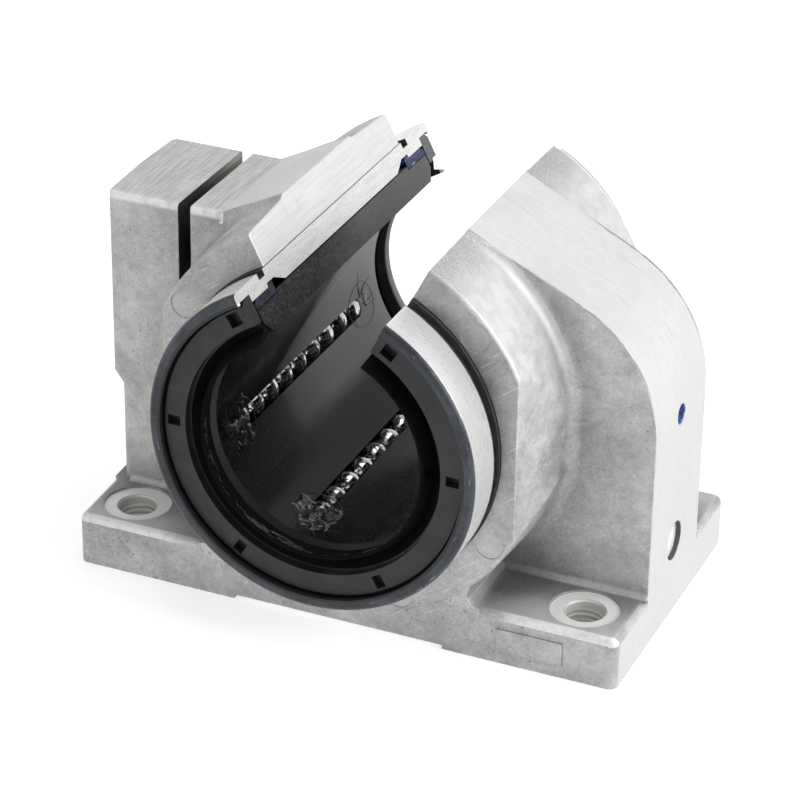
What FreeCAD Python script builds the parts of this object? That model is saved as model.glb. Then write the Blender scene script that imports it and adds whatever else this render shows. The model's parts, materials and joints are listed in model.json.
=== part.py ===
import FreeCAD, Part
import os
from math import atan2
import Sketcher
from FreeCAD import Placement, Rotation, Vector

# Open, slotted linear bearing block for a 50 mm shaft.
# Frame: origin at the middle of the base's underside, +X across the base towards the machined
# side, +Y along the shaft from front to back, +Z up through the middle of the opening.

doc = FreeCAD.newDocument("linear_bearing_block")

# ---------------------------------------------------------------- driving dimensions (mm, degrees)
DIMENSIONS = [
    # housing
    ("base_width", 130.0), ("base_depth", 70.0), ("base_height", 12.2),
    ("base_edge_radius", 1.8), ("base_corner_radius", 2.0),
    ("relief_width", 50.0), ("relief_depth", 1.0),
    ("bolt_pitch_across", 108.0), ("bolt_pitch_along", 50.0), ("bolt_hole_dia", 8.6),
    ("bolt_hole_chamfer", 0.4), ("spotface_dia", 15.4), ("spotface_depth", 0.5),
    ("axis_height", 50.0), ("opening_angle", 54.0), ("bore_clearance", 0.03),
    ("boss_stand", 0.3), ("boss_face_wall", 7.87), ("boss_root_wall", 8.77),
    ("boss_edge_radius", 0.9), ("boss_root_fillet", 3.0), ("boss_flat_rise", 4.0),
    ("boss_flat_face_wall", 3.47), ("boss_flat_root_wall", 8.47),
    ("web_thickness", 32.0), ("crown_wall", 9.47), ("shoulder_radius", 32.0),
    ("web_root_radius", 1.6), ("jaw_rise", 34.0), ("side_draft_angle", 2.0),
    ("jaw_corner_radius", 1.8), ("jaw_rim_radius", 0.8), ("boss_toe_radius", 3.0),
    ("left_step_inset", 2.7), ("left_step_rise", 27.8), ("left_step_slope", 3.7),
    ("slot_width", 3.0), ("slot_wall", 6.47), ("slot_drop", 28.0),
    ("adjuster_rise", 16.0), ("adjuster_hole_dia", 8.0), ("adjuster_clearance", 0.05),
    ("adjuster_length", 17.0), ("adjuster_tip_gap", 0.3), ("adjuster_socket", 4.0),
    ("adjuster_socket_depth", 4.0),
    ("locator_hole_dia", 4.5), ("locator_clearance", 0.05), ("locator_sink", 1.6),
    ("locator_socket", 2.0), ("locator_socket_depth", 2.0), ("locator_tip_depth", 1.5),
    ("locator_tip_gap", 0.2),
    ("recess_dia", 9.0), ("recess_depth", 1.2), ("recess_height", 18.5),
    ("mark_dia", 6.4), ("mark_depth", 0.15), ("mark_offset", 3.85),
    ("label_width", 15.0), ("label_height", 5.4), ("label_relief", 0.3),
    ("label_edge_distance", 19.7), ("label_centre_height", 5.9),
    # shaft, balls and cage, from the shaft outwards
    ("shaft_dia", 50.0), ("guide_clearance", 0.02), ("ball_dia", 7.144), ("ball_gap", 0.156),
    ("ball_play", 0.36), ("row_spread", 0.1775), ("turn_gap", 0.106), ("turn_level_offset", 0.75),
    ("end_zone", 20.8), ("cage_clearance", 0.5), ("cage_floor_wall", 1.45),
    ("cage_track_gap", 0.3), ("cage_end_step", 0.9), ("cage_step_distance", 5.3),
    ("cage_end_depth", 6.0), ("cage_chamfer_across", 2.6), ("cage_chamfer_along", 2.5),
    ("row_slot_inset", 1.344), ("row_slot_overrun", 3.8),
    # steel outer ring
    ("bearing_length", 100.0), ("ring_end_radius", 1.2), ("track_gap", 0.236),
    ("return_gap", 0.326), ("ring_wall", 2.9), ("relief_step", 0.2), ("shoulder_step", 0.9),
    ("seat_step", 1.8), ("lip_step", 0.55), ("track_overrun", 0.3), ("taper_length", 4.0),
    ("seat_floor_depth", 5.5), ("seat_mouth_depth", 1.1), ("return_groove_margin", 0.548),
    ("shoulder_gap", 0.15), ("groove_distance", 0.85), ("groove_width", 2.65), ("groove_depth", 1.5),
    # end rings, seal lips and grease rings
    ("end_ring_face_depth", 1.6), ("end_ring_web_depth", 3.6), ("end_ring_face_step", 1.15),
    ("end_ring_inner_wall", 0.5), ("end_ring_bevel", 1.2), ("end_ring_height", 6.35),
    ("seat_gap", 0.05),
    ("notch_outer_wall", 0.55), ("notch_length", 3.0), ("notch_width", 2.3),
    ("notch_depth", 2.0), ("notch_edge_angle", 57.0),
    ("seal_tip_clearance", 0.05), ("seal_tip_land", 0.8), ("seal_tip_depth", 1.1),
    ("seal_tip_thickness", 0.5), ("seal_heel_rise", 1.4), ("seal_heel_depth", 6.4),
    ("seal_thickness", 0.9), ("seal_joint", 0.03),
    ("grease_ring_gap", 0.2), ("grease_ring_end_depth", 5.9),
]

sheet = doc.addObject("Spreadsheet::Sheet", "Dims")
for row_number, (alias, value) in enumerate(DIMENSIONS, start=1):
    sheet.set("A%d" % row_number, alias)
    sheet.set("B%d" % row_number, str(value))
    sheet.setAlias("B%d" % row_number, alias)
doc.recompute()


def value_of(expression):
    """The number that an expression of sheet values gives."""
    return float(sheet.evalExpression(expression))


def size(name):
    return value_of("Dims." + name)


# ---------------------------------------------------------------- sizes that follow from them
# Places along the shaft. The balls fill the straight rows, the rest hangs on the rows' ends or
# on the bearing's ends.
HALF_LENGTH = "(Dims.bearing_length / 2)"
BALL_PITCH = "(Dims.ball_dia + Dims.ball_gap)"
ROW_STEPS = int(value_of("({0} - Dims.end_zone) / {1} + 0.01".format(HALF_LENGTH, BALL_PITCH)))
ROW_END = "({0} * {1})".format(ROW_STEPS, BALL_PITCH)
TRACK_END = "({0} + Dims.track_overrun)".format(ROW_END)
TAPER_END = "({0} + Dims.taper_length)".format(TRACK_END)
CAGE_STEP = "({0} + Dims.cage_step_distance)".format(ROW_END)
CAGE_END = "({0} - Dims.cage_end_depth)".format(HALF_LENGTH)
SEAT_FLOOR = "({0} - Dims.seat_floor_depth)".format(HALF_LENGTH)
SEAT_MOUTH = "({0} - Dims.seat_mouth_depth)".format(HALF_LENGTH)
PLATE_FACE = "({0} - Dims.end_ring_face_depth)".format(HALF_LENGTH)
PLATE_WEB = "({0} - Dims.end_ring_web_depth)".format(HALF_LENGTH)
TIP_FACE = "({0} - Dims.seal_tip_depth)".format(HALF_LENGTH)
HEEL_FACE = "({0} - Dims.seal_heel_depth)".format(HALF_LENGTH)
GREASE_END = "({0} - Dims.grease_ring_end_depth)".format(HALF_LENGTH)
HALF_BOSS = "(Dims.base_depth / 2 + Dims.boss_stand)"
GROOVE_NEAR = "({0} + Dims.groove_distance)".format(HALF_BOSS)
GROOVE_FAR = "({0} + Dims.groove_width)".format(GROOVE_NEAR)

# Radii, from the shaft outwards.
BALL_RADIUS = "(Dims.ball_dia / 2)"
CHANNEL = "((Dims.ball_dia + Dims.ball_play) / 2)"
LOADED_RADIUS = "(Dims.shaft_dia / 2 + Dims.guide_clearance + {0})".format(BALL_RADIUS)
TRACK_RADIUS = "({0} + {1} + Dims.track_gap)".format(LOADED_RADIUS, BALL_RADIUS)
CAGE_BORE = "(Dims.shaft_dia / 2 + Dims.cage_clearance)"
CAGE_OUTER = "({0} - Dims.cage_track_gap)".format(TRACK_RADIUS)
CAGE_END_OUTER = "({0} - Dims.cage_end_step)".format(CAGE_OUTER)
RETURN_FLOOR = "({0} + Dims.cage_floor_wall)".format(CAGE_BORE)
RETURN_RADIUS = "({0} + {1})".format(RETURN_FLOOR, CHANNEL)
TURN_LEVEL = "({0} - Dims.turn_level_offset)".format(RETURN_RADIUS)
TURN_FLOOR = "({0} - {1})".format(TURN_LEVEL, CHANNEL)
TURN_RADIUS = "(Dims.ball_dia + Dims.turn_gap)"
ROW_ANGLE = "(asin(({0} + Dims.row_spread) / {1}) / 1 deg)".format(TURN_RADIUS, RETURN_RADIUS)
SHOULDER_START = "({0} + {1} + Dims.shoulder_gap)".format(ROW_END, TURN_RADIUS)
RETURN_GROOVE = "({0} + {1} + Dims.return_gap)".format(RETURN_RADIUS, BALL_RADIUS)
RELIEF_RADIUS = "({0} - Dims.relief_step)".format(RETURN_GROOVE)
SHOULDER_BORE = "({0} - Dims.shoulder_step)".format(RELIEF_RADIUS)
SEAT_RADIUS = "({0} + Dims.seat_step)".format(SHOULDER_BORE)
LIP_RADIUS = "({0} - Dims.lip_step)".format(SEAT_RADIUS)
RING_RADIUS = "({0} + Dims.ring_wall)".format(RETURN_GROOVE)
BORE_RADIUS = "({0} + Dims.bore_clearance)".format(RING_RADIUS)
BOSS_FACE = "({0} + Dims.boss_face_wall)".format(BORE_RADIUS)
BOSS_ROOT = "({0} + Dims.boss_root_wall)".format(BORE_RADIUS)
FLAT_FACE = "({0} + Dims.boss_flat_face_wall)".format(BORE_RADIUS)
FLAT_ROOT = "({0} + Dims.boss_flat_root_wall)".format(BORE_RADIUS)
CROWN_RADIUS = "({0} + Dims.crown_wall)".format(BORE_RADIUS)
MARK_RADIUS = "({0} + Dims.mark_offset)".format(BORE_RADIUS)
SEAL_TIP = "(Dims.shaft_dia / 2 + Dims.seal_tip_clearance)"
SEAL_HEEL = "(Dims.shaft_dia / 2 + Dims.seal_heel_rise)"
PLATE_OUTER = "({0} - Dims.end_ring_face_step)".format(SEAT_RADIUS)
PLATE_WEB_INNER = "({0} - Dims.seat_gap - Dims.end_ring_height)".format(SEAT_RADIUS)
PLATE_INNER = "({0} + Dims.end_ring_inner_wall)".format(PLATE_WEB_INNER)
NOTCH_OUTER = "({0} - Dims.notch_outer_wall)".format(PLATE_OUTER)
NOTCH_INNER = "({0} - Dims.notch_length)".format(NOTCH_OUTER)
GREASE_INNER = "({0} + Dims.grease_ring_gap)".format(CAGE_END_OUTER)

# Heights and the slot's place.
JAW_TOP = "(Dims.axis_height + Dims.jaw_rise)"
SLOT_FLOOR = "(Dims.axis_height - Dims.slot_drop)"
SLOT_OFFSET = "({0} + Dims.slot_wall + Dims.slot_width / 2)".format(BORE_RADIUS)
ADJUSTER_HEIGHT = "(Dims.axis_height + Dims.adjuster_rise)"
LABEL_CENTRE = "(Dims.base_width / 2 - Dims.label_edge_distance)"


def bind(thing, **expressions):
    """Bind properties to sheet expressions; __ in a name stands for a dot."""
    for name, expression in expressions.items():
        thing.setExpression(name.replace("__", "."), expression)


def near(a, b, tolerance=0.05):
    return abs(a - b) < tolerance


# ---------------------------------------------------------------- sketch and body helpers
PLANES = {"XY": "XY_Plane", "XZ": "XZ_Plane", "YZ": "YZ_Plane"}


def new_body(label):
    body = doc.addObject("PartDesign::Body", label + "_body")
    body.Label = label
    return body


def new_sketch(body, name, plane, shift=("0", "0", "0"), turn_axis=None, turn="0"):
    """A sketch on one of the body's own planes, moved by shift and turned about turn_axis."""
    sketch = body.newObject("Sketcher::SketchObject", name)
    origin_plane = [f for f in body.Origin.OriginFeatures if f.Role == PLANES[plane]][0]
    sketch.AttachmentSupport = [(origin_plane, "")]
    sketch.MapMode = "FlatFace"
    if turn_axis is not None:
        sketch.AttachmentOffset = Placement(Vector(), Rotation(turn_axis, value_of(turn)))
        sketch.setExpression("AttachmentOffset.Rotation.Angle", turn)
    for axis, expression in zip("xyz", shift):
        if expression != "0":
            sketch.setExpression("AttachmentOffset.Base." + axis, expression)
    return sketch


def pin_point(sketch, geometry, end, x, y):
    """Fix one end of a line at sheet expressions x, y measured from the sketch's origin."""
    for kind, expression in (("DistanceX", x), ("DistanceY", y)):
        index = sketch.addConstraint(
            Sketcher.Constraint(kind, -1, 1, geometry, end, value_of(expression)))
        sketch.setExpression("Constraints[%d]" % index, expression)


def polygon(sketch, points, arcs=None):
    """A closed outline through points of (x, y) expressions.

    arcs maps the number of a side to (radius, centre x, centre y, anticlockwise) of the arc that
    replaces it.
    """
    arcs = arcs or {}
    spots = [Vector(value_of(x), value_of(y), 0) for x, y in points]
    count = len(points)
    sides = []
    for number in range(count):
        first, last = spots[number], spots[(number + 1) % count]
        if number in arcs:
            radius, centre_x, centre_y, anticlockwise = arcs[number]
            centre = Vector(value_of(centre_x), value_of(centre_y), 0)
            start = atan2(first.y - centre.y, first.x - centre.x)
            stop = atan2(last.y - centre.y, last.x - centre.x)
            if not anticlockwise:
                start, stop = stop, start
            curve = Part.ArcOfCircle(
                Part.Circle(centre, Vector(0, 0, 1), value_of(radius)), start, stop)
            sides.append((sketch.addGeometry(curve, False), 1 if anticlockwise else 2))
        else:
            sides.append((sketch.addGeometry(Part.LineSegment(first, last), False), 1))
    for number in range(count):
        side, first_end = sides[number]
        following, following_end = sides[(number + 1) % count]
        sketch.addConstraint(Sketcher.Constraint(
            "Coincident", side, 3 - first_end, following, following_end))
    for number, (x, y) in enumerate(points):
        pin_point(sketch, sides[number][0], sides[number][1], x, y)
    for number in arcs:
        radius, centre_x, centre_y, anticlockwise = arcs[number]
        side = sides[number][0]
        chord = spots[number].distanceToPoint(spots[(number + 1) % count])
        if near(chord, 2 * value_of(radius)):
            index = sketch.addConstraint(Sketcher.Constraint(
                "DistanceY", -1, 1, side, 3, value_of(centre_y)))
            sketch.setExpression("Constraints[%d]" % index, centre_y)
        else:
            index = sketch.addConstraint(
                Sketcher.Constraint("Radius", side, value_of(radius)))
            sketch.setExpression("Constraints[%d]" % index, radius)


def circle(sketch, x, y, radius):
    number = sketch.addGeometry(Part.Circle(
        Vector(value_of(x), value_of(y), 0), Vector(0, 0, 1), value_of(radius)), False)
    pin_point(sketch, number, 3, x, y)
    index = sketch.addConstraint(Sketcher.Constraint("Radius", number, value_of(radius)))
    sketch.setExpression("Constraints[%d]" % index, radius)


def box_points(x_low, x_high, y_low, y_high):
    return [(x_low, y_low), (x_high, y_low), (x_high, y_high), (x_low, y_high)]


def pad(body, name, sketch, length, midplane=False, backwards=False):
    feature = body.newObject("PartDesign::Pad", name)
    feature.Profile = sketch
    feature.Midplane = midplane
    feature.Reversed = backwards
    bind(feature, Length=length)
    return feature


def pocket(body, name, sketch, length, midplane=False, backwards=False):
    feature = body.newObject("PartDesign::Pocket", name)
    feature.Profile = sketch
    feature.Midplane = midplane
    feature.Reversed = backwards
    bind(feature, Length=length)
    return feature


def c_ring(body, name, points):
    """Revolve a section about the shaft axis, leaving the opening at the top.

    points are (along the axis, radius) expressions; the section lies straight down.
    """
    sketch = new_sketch(body, name + "_section", "YZ")
    polygon(sketch, [(along, "-(%s)" % radius) for along, radius in points])
    ring = body.newObject("PartDesign::Revolution", name)
    ring.Profile = sketch
    ring.ReferenceAxis = (sketch, ["H_Axis"])
    ring.Midplane = True
    bind(ring, Angle="360 - Dims.opening_angle")
    return ring


def mirrored_section(half):
    """A section symmetric about the middle, from its half with positive positions."""
    return half + [("-(%s)" % along, radius) for along, radius in reversed(half)]


def dress_edges(body, name, kind, chosen, **sizes):
    """Fillet or chamfer the tip's edges that chosen() accepts."""
    doc.recompute()
    base = body.Tip
    names = ["Edge%d" % (number + 1) for number, edge in enumerate(base.Shape.Edges) if chosen(edge)]
    dressing = body.newObject("PartDesign::" + kind, name)
    dressing.Base = (base, names)
    bind(dressing, **sizes)
    doc.recompute()
    return dressing


ON_AXIS = "Dims.axis_height"
OUTSIDE = "Dims.base_width + Dims.base_depth"       # longer than anything in the part
HALF_OPENING = "Dims.opening_angle / 2"

# ================================================================ housing
housing = new_body("housing")

# The cast left side leans in from the parting plane at mid-depth to both ends.
LEFT_AT_END = "-Dims.base_width / 2 + Dims.base_depth / 2 * tan(Dims.side_draft_angle)"
sketch = new_sketch(housing, "base_outline", "XY")
polygon(sketch, [
    (LEFT_AT_END, "-Dims.base_depth / 2"), ("Dims.base_width / 2", "-Dims.base_depth / 2"),
    ("Dims.base_width / 2", "Dims.base_depth / 2"), (LEFT_AT_END, "Dims.base_depth / 2"),
    ("-Dims.base_width / 2", "0"),
])
pad(housing, "base", sketch, "Dims.base_height")


def is_base_corner(edge):
    """Upright edges at the base's four corners."""
    upright = near(abs(edge.Vertexes[0].Z - edge.Vertexes[-1].Z), size("base_height"))
    return upright and near(abs(edge.CenterOfMass.y), size("base_depth") / 2)


def is_base_rim(edge):
    """Top edges of the base, without the machined right side's."""
    on_top = all(near(v.Z, size("base_height")) for v in edge.Vertexes)
    return on_top and edge.CenterOfMass.x < size("base_width") / 2 - 0.5


dress_edges(housing, "base_corners", "Fillet", is_base_corner, Radius="Dims.base_corner_radius")
dress_edges(housing, "base_rim", "Fillet", is_base_rim, Radius="Dims.base_edge_radius")

# The web stands in the middle of the depth. Its crown runs as two slopes square to the cut faces;
# the right slope rolls into the machined side, the left one ends at the flat-topped jaw.
CROWN_TOP = ("Dims.axis_height + " + CROWN_RADIUS + " / cos({0})").format(HALF_OPENING)
SHOULDER_X = "(Dims.base_width / 2 - Dims.shoulder_radius)"
SHOULDER_Z = ("(Dims.axis_height + ({2} - Dims.shoulder_radius - {0} * sin({1}))"
              " / cos({1}))").format(SHOULDER_X, HALF_OPENING, CROWN_RADIUS)
SLOPE_END_X = "({0} + Dims.shoulder_radius * sin({1}))".format(SHOULDER_X, HALF_OPENING)
SLOPE_END_Z = "({0} + Dims.shoulder_radius * cos({1}))".format(SHOULDER_Z, HALF_OPENING)
JAW_SHELF_X = ("(-({0} - " + JAW_TOP + ") / tan({1}))").format("(" + CROWN_TOP + ")", HALF_OPENING)
sketch = new_sketch(housing, "web_outline", "XZ")
polygon(sketch, [
    ("-Dims.base_width / 2", "0"),
    ("Dims.base_width / 2", "0"),
    ("Dims.base_width / 2", SHOULDER_Z),
    (SLOPE_END_X, SLOPE_END_Z),
    ("0", CROWN_TOP),
    (JAW_SHELF_X, JAW_TOP),
    ("-Dims.base_width / 2", JAW_TOP),
], arcs={2: ("Dims.shoulder_radius", SHOULDER_X, SHOULDER_Z, True)})
pad(housing, "web", sketch, "Dims.web_thickness", midplane=True)

# The web's left side leans in like the base's, and steps in below the jaw.
sketch = new_sketch(housing, "draft_outline", "XY", shift=("0", "0", "-1"))
DRAFT_REACH = "(Dims.base_depth / 2 + 2)"
for end in ("", "-"):
    polygon(sketch, [
        ("-Dims.base_width / 2", "0"),
        ("-Dims.base_width / 2 + {0} * tan(Dims.side_draft_angle)".format(DRAFT_REACH),
         "{0}{1}".format(end, DRAFT_REACH)),
        ("-Dims.base_width / 2 - 3", "{0}{1}".format(end, DRAFT_REACH)),
        ("-Dims.base_width / 2 - 3", "0"),
    ])
pocket(housing, "draft_cut", sketch, OUTSIDE, backwards=True)

STEP_X = "(-Dims.base_width / 2 + Dims.left_step_inset)"
STEP_TOP = "(Dims.base_height + Dims.left_step_rise)"
sketch = new_sketch(housing, "left_step_outline", "XZ")
polygon(sketch, [
    (STEP_X, "Dims.base_height"), (STEP_X, STEP_TOP + " - Dims.left_step_slope"),
    ("-Dims.base_width / 2", STEP_TOP), ("-Dims.base_width / 2 - 3", STEP_TOP),
    ("-Dims.base_width / 2 - 3", "Dims.base_height"),
])
pocket(housing, "left_step", sketch, OUTSIDE, midplane=True)


def is_jaw_corner(edge):
    """The web's two left corners, from the base's top to the jaw's."""
    ends = [edge.Vertexes[0].Point, edge.Vertexes[-1].Point]
    at_left = all(p.x < -size("base_width") / 2 + size("left_step_inset") + 0.1 for p in ends)
    at_face = all(near(abs(p.y), size("web_thickness") / 2) for p in ends)
    above_base = all(p.z > size("base_height") - 0.01 for p in ends)
    return at_left and at_face and above_base and not near(ends[0].z, ends[1].z)


def is_jaw_rim(edge):
    """Edges of the jaw's flat top, without the one where the crown starts."""
    middle = edge.CenterOfMass
    on_top = all(near(v.Z, value_of(JAW_TOP)) for v in edge.Vertexes)
    return on_top and near(middle.z, value_of(JAW_TOP)) and middle.x < value_of(JAW_SHELF_X) - 0.5


dress_edges(housing, "jaw_corners", "Fillet", is_jaw_corner, Radius="Dims.jaw_corner_radius")
dress_edges(housing, "jaw_rim", "Fillet", is_jaw_rim, Radius="Dims.jaw_rim_radius")

# Concave foot between the web's faces and the base's top.
FEET_INSET = "(Dims.left_step_inset + Dims.jaw_corner_radius)"
sketch = new_sketch(housing, "web_foot_outline", "YZ",
                    shift=("0", "0", "-Dims.base_width / 2 + " + FEET_INSET))
for end in ("", "-"):
    face = end + "Dims.web_thickness / 2"
    reach = end + "(Dims.web_thickness / 2 + Dims.web_root_radius)"
    top = "Dims.base_height + Dims.web_root_radius"
    polygon(sketch, [
        (face, "Dims.base_height"), (reach, "Dims.base_height"), (face, top),
    ], arcs={1: ("Dims.web_root_radius", reach, top, end == "-")})
pad(housing, "web_feet", sketch, "Dims.base_width - " + FEET_INSET)

# The boss tapers from its root at the web's faces to its own faces.
BOSS_TIP = HALF_BOSS + " - Dims.boss_edge_radius"
BOSS_FOOT = "Dims.web_thickness / 2 + Dims.boss_root_fillet"
sketch = new_sketch(housing, "boss_section", "YZ", shift=("0", ON_AXIS, "0"))
polygon(sketch, [
    (HALF_BOSS, "-" + BORE_RADIUS + " / 2"),
    (HALF_BOSS, "-(" + BOSS_FACE + " - Dims.boss_edge_radius)"),
    (BOSS_TIP, "-" + BOSS_FACE),
    (BOSS_FOOT, "-" + BOSS_ROOT),
    ("Dims.web_thickness / 2", "-(" + BOSS_ROOT + " + Dims.boss_root_fillet)"),
    ("-Dims.web_thickness / 2", "-(" + BOSS_ROOT + " + Dims.boss_root_fillet)"),
    ("-({0})".format(BOSS_FOOT), "-" + BOSS_ROOT),
    ("-({0})".format(BOSS_TIP), "-" + BOSS_FACE),
    ("-" + HALF_BOSS, "-(" + BOSS_FACE + " - Dims.boss_edge_radius)"),
    ("-" + HALF_BOSS, "-" + BORE_RADIUS + " / 2"),
], arcs={
    1: ("Dims.boss_edge_radius", BOSS_TIP, "-(" + BOSS_FACE + " - Dims.boss_edge_radius)", False),
    3: ("Dims.boss_root_fillet", BOSS_FOOT, "-(" + BOSS_ROOT + " + Dims.boss_root_fillet)", True),
    5: ("Dims.boss_root_fillet", "-({0})".format(BOSS_FOOT),
        "-(" + BOSS_ROOT + " + Dims.boss_root_fillet)", True),
    7: ("Dims.boss_edge_radius", "-({0})".format(BOSS_TIP),
        "-(" + BOSS_FACE + " - Dims.boss_edge_radius)", False),
})
boss = housing.newObject("PartDesign::Revolution", "boss")
boss.Profile = sketch
boss.ReferenceAxis = (sketch, ["H_Axis"])
boss.Angle = 360

# Slanted flats take the sides off the boss from the web's faces outwards, with a concave root.
FLAT_SLANT = "atan(({0} - {1}) / ({2} - Dims.web_thickness / 2))".format(
    FLAT_ROOT, FLAT_FACE, HALF_BOSS)
FLAT_TURN_X = "({0} + Dims.boss_root_fillet * (1 - sin({1})) / cos({1}))".format(
    FLAT_ROOT, FLAT_SLANT)
FLAT_START_X = "({0} - Dims.boss_root_fillet * cos({1}))".format(FLAT_TURN_X, FLAT_SLANT)
FLAT_START_Y = "({0} - Dims.boss_root_fillet * sin({1}))".format(BOSS_FOOT, FLAT_SLANT)
FLAT_CLEAR = "({0} + Dims.boss_root_fillet + 4)".format(FLAT_ROOT)
sketch = new_sketch(housing, "boss_flats", "XY",
                    shift=("0", "0", "Dims.base_height + Dims.boss_flat_rise"))
for side in ("", "-"):
    for end in ("", "-"):
        def spot(x, y):
            return side + "(" + x + ")", end + "(" + y + ")"

        turn = spot(FLAT_TURN_X, BOSS_FOOT)
        polygon(sketch, [
            spot(FLAT_TURN_X, "Dims.web_thickness / 2"), spot(FLAT_START_X, FLAT_START_Y),
            spot(FLAT_FACE, HALF_BOSS), spot(FLAT_FACE, HALF_BOSS + " + 1"),
            spot(FLAT_CLEAR, HALF_BOSS + " + 1"), spot(FLAT_CLEAR, "Dims.web_thickness / 2"),
        ], arcs={0: ("Dims.boss_root_fillet", turn[0], turn[1], side != end)})
pocket(housing, "boss_flat_cut", sketch, JAW_TOP + " - Dims.base_height", backwards=True)

# The boss runs into the tops of the feet with a concave toe.
TOE_DROP = "(Dims.axis_height - Dims.base_height - Dims.boss_toe_radius)"
TOE_REACH = "({0} + Dims.boss_toe_radius)".format(BOSS_FACE)
TOE_X = "sqrt({0} * {0} - {1} * {1})".format(TOE_REACH, TOE_DROP)
TOE_TOP_X = "({0} * {1} / {2})".format(TOE_X, BOSS_FACE, TOE_REACH)
TOE_TOP_Z = "(Dims.axis_height - {0} * {1} / {2})".format(TOE_DROP, BOSS_FACE, TOE_REACH)
TOE_BOTTOM = "(Dims.base_height - Dims.base_edge_radius - 0.2)"
sketch = new_sketch(housing, "boss_toe_outline", "XZ")
for side in ("", "-"):
    polygon(sketch, [
        (side + "(" + TOE_X + ")", "Dims.base_height"), (side + TOE_TOP_X, TOE_TOP_Z),
        (side + "(" + TOE_TOP_X + " - 5)", TOE_TOP_Z), (side + "(" + TOE_TOP_X + " - 12)", TOE_BOTTOM),
        (side + "(" + TOE_X + ")", TOE_BOTTOM),
    ], arcs={0: ("Dims.boss_toe_radius", side + "(" + TOE_X + ")",
                 "Dims.base_height + Dims.boss_toe_radius", side == "-")})
pad(housing, "boss_toes", sketch, "Dims.base_depth", midplane=True)

# Nothing of the boss stands above the crown or below the underside.
sketch = new_sketch(housing, "crown_trim_outline", "XZ")
polygon(sketch, [
    ("0", CROWN_TOP), (SLOPE_END_X, SLOPE_END_Z),
    ("Dims.base_width / 2", SLOPE_END_Z), ("Dims.base_width / 2", CROWN_TOP + " + 5"),
    ("-Dims.base_width / 2", CROWN_TOP + " + 5"), ("-Dims.base_width / 2", JAW_TOP),
    (JAW_SHELF_X, JAW_TOP),
])
pocket(housing, "crown_trim", sketch, OUTSIDE, midplane=True)

# Bore, opening, slot, and the underside with its shallow relief.
sketch = new_sketch(housing, "bore_circle", "XZ")
circle(sketch, "0", ON_AXIS, BORE_RADIUS)
pocket(housing, "bore", sketch, OUTSIDE, midplane=True)

sketch = new_sketch(housing, "opening_outline", "XZ")
polygon(sketch, [
    ("0", ON_AXIS),
    ("Dims.base_width * tan({0})".format(HALF_OPENING), ON_AXIS + " + Dims.base_width"),
    ("-Dims.base_width * tan({0})".format(HALF_OPENING), ON_AXIS + " + Dims.base_width"),
])
pocket(housing, "opening", sketch, OUTSIDE, midplane=True)

sketch = new_sketch(housing, "slot_outline", "XZ")
polygon(sketch, box_points("-" + SLOT_OFFSET + " - Dims.slot_width / 2",
                           "-" + SLOT_OFFSET + " + Dims.slot_width / 2",
                           SLOT_FLOOR, JAW_TOP + " + 10"))
pocket(housing, "slot", sketch, OUTSIDE, midplane=True)

sketch = new_sketch(housing, "relief_outline", "XZ")
polygon(sketch, [
    ("-Dims.base_width", "-Dims.base_width"), ("Dims.base_width", "-Dims.base_width"),
    ("Dims.base_width", "0"), ("Dims.relief_width / 2", "0"),
    ("Dims.relief_width / 2", "Dims.relief_depth"), ("-Dims.relief_width / 2", "Dims.relief_depth"),
    ("-Dims.relief_width / 2", "0"), ("-Dims.base_width", "0"),
])
pocket(housing, "relief", sketch, OUTSIDE, midplane=True)

# Four bolt holes with spotfaces.
for name, plane_height, radius in (
        ("bolt_holes", "-1", "Dims.bolt_hole_dia / 2"),
        ("spotfaces", "Dims.base_height - Dims.spotface_depth", "Dims.spotface_dia / 2")):
    sketch = new_sketch(housing, name + "_circles", "XY", shift=("0", "0", plane_height))
    for side in ("", "-"):
        for end in ("", "-"):
            circle(sketch, side + "Dims.bolt_pitch_across / 2", end + "Dims.bolt_pitch_along / 2",
                   radius)
    pocket(housing, name, sketch, "Dims.base_height + 3", backwards=True)



def is_hole_mouth(edge):
    """Top edges of the four bolt holes, in the spotfaces."""
    at_floor = near(edge.CenterOfMass.z, size("base_height") - size("spotface_depth"))
    return (at_floor and hasattr(edge.Curve, "Radius")
            and near(edge.Curve.Radius, size("bolt_hole_dia") / 2))


dress_edges(housing, "bolt_hole_mouths", "Chamfer", is_hole_mouth, Size="Dims.bolt_hole_chamfer")

# Left side: hole of the adjusting screw, from outside to the slot.
sketch = new_sketch(housing, "adjuster_circle", "YZ", shift=("0", "0", "-Dims.base_width / 2 - 1"))
circle(sketch, "0", ADJUSTER_HEIGHT, "Dims.adjuster_hole_dia / 2")
pocket(housing, "adjuster_hole", sketch, "Dims.base_width / 2 + 1 - " + SLOT_OFFSET, backwards=True)

# Right side: hole of the locating screw, through to the bearing, and a shallow round recess.
sketch = new_sketch(housing, "locator_circle", "YZ", shift=("0", "0", "Dims.base_width / 2 + 1"))
circle(sketch, "0", ON_AXIS, "Dims.locator_hole_dia / 2")
pocket(housing, "locator_hole", sketch, "Dims.base_width / 2 + 1 - " + BORE_RADIUS + " + 3")
sketch = new_sketch(housing, "recess_circle", "YZ", shift=("0", "0", "Dims.base_width / 2 + 1"))
circle(sketch, "0", "Dims.recess_height", "Dims.recess_dia / 2")
pocket(housing, "recess", sketch, "1 + Dims.recess_depth")

# Round ejector marks on the front boss face, at these angles about the shaft axis.
MARK_ANGLES = ("150", "41", "-31", "-69")
sketch = new_sketch(housing, "front_marks", "XZ", shift=("0", "0", HALF_BOSS + " - Dims.mark_depth"))
for angle in MARK_ANGLES:
    circle(sketch, "{0} * cos({1})".format(MARK_RADIUS, angle),
           "Dims.axis_height + {0} * sin({1})".format(MARK_RADIUS, angle), "Dims.mark_dia / 2")
pocket(housing, "marks", sketch, "Dims.mark_depth + 1", backwards=True)

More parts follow.
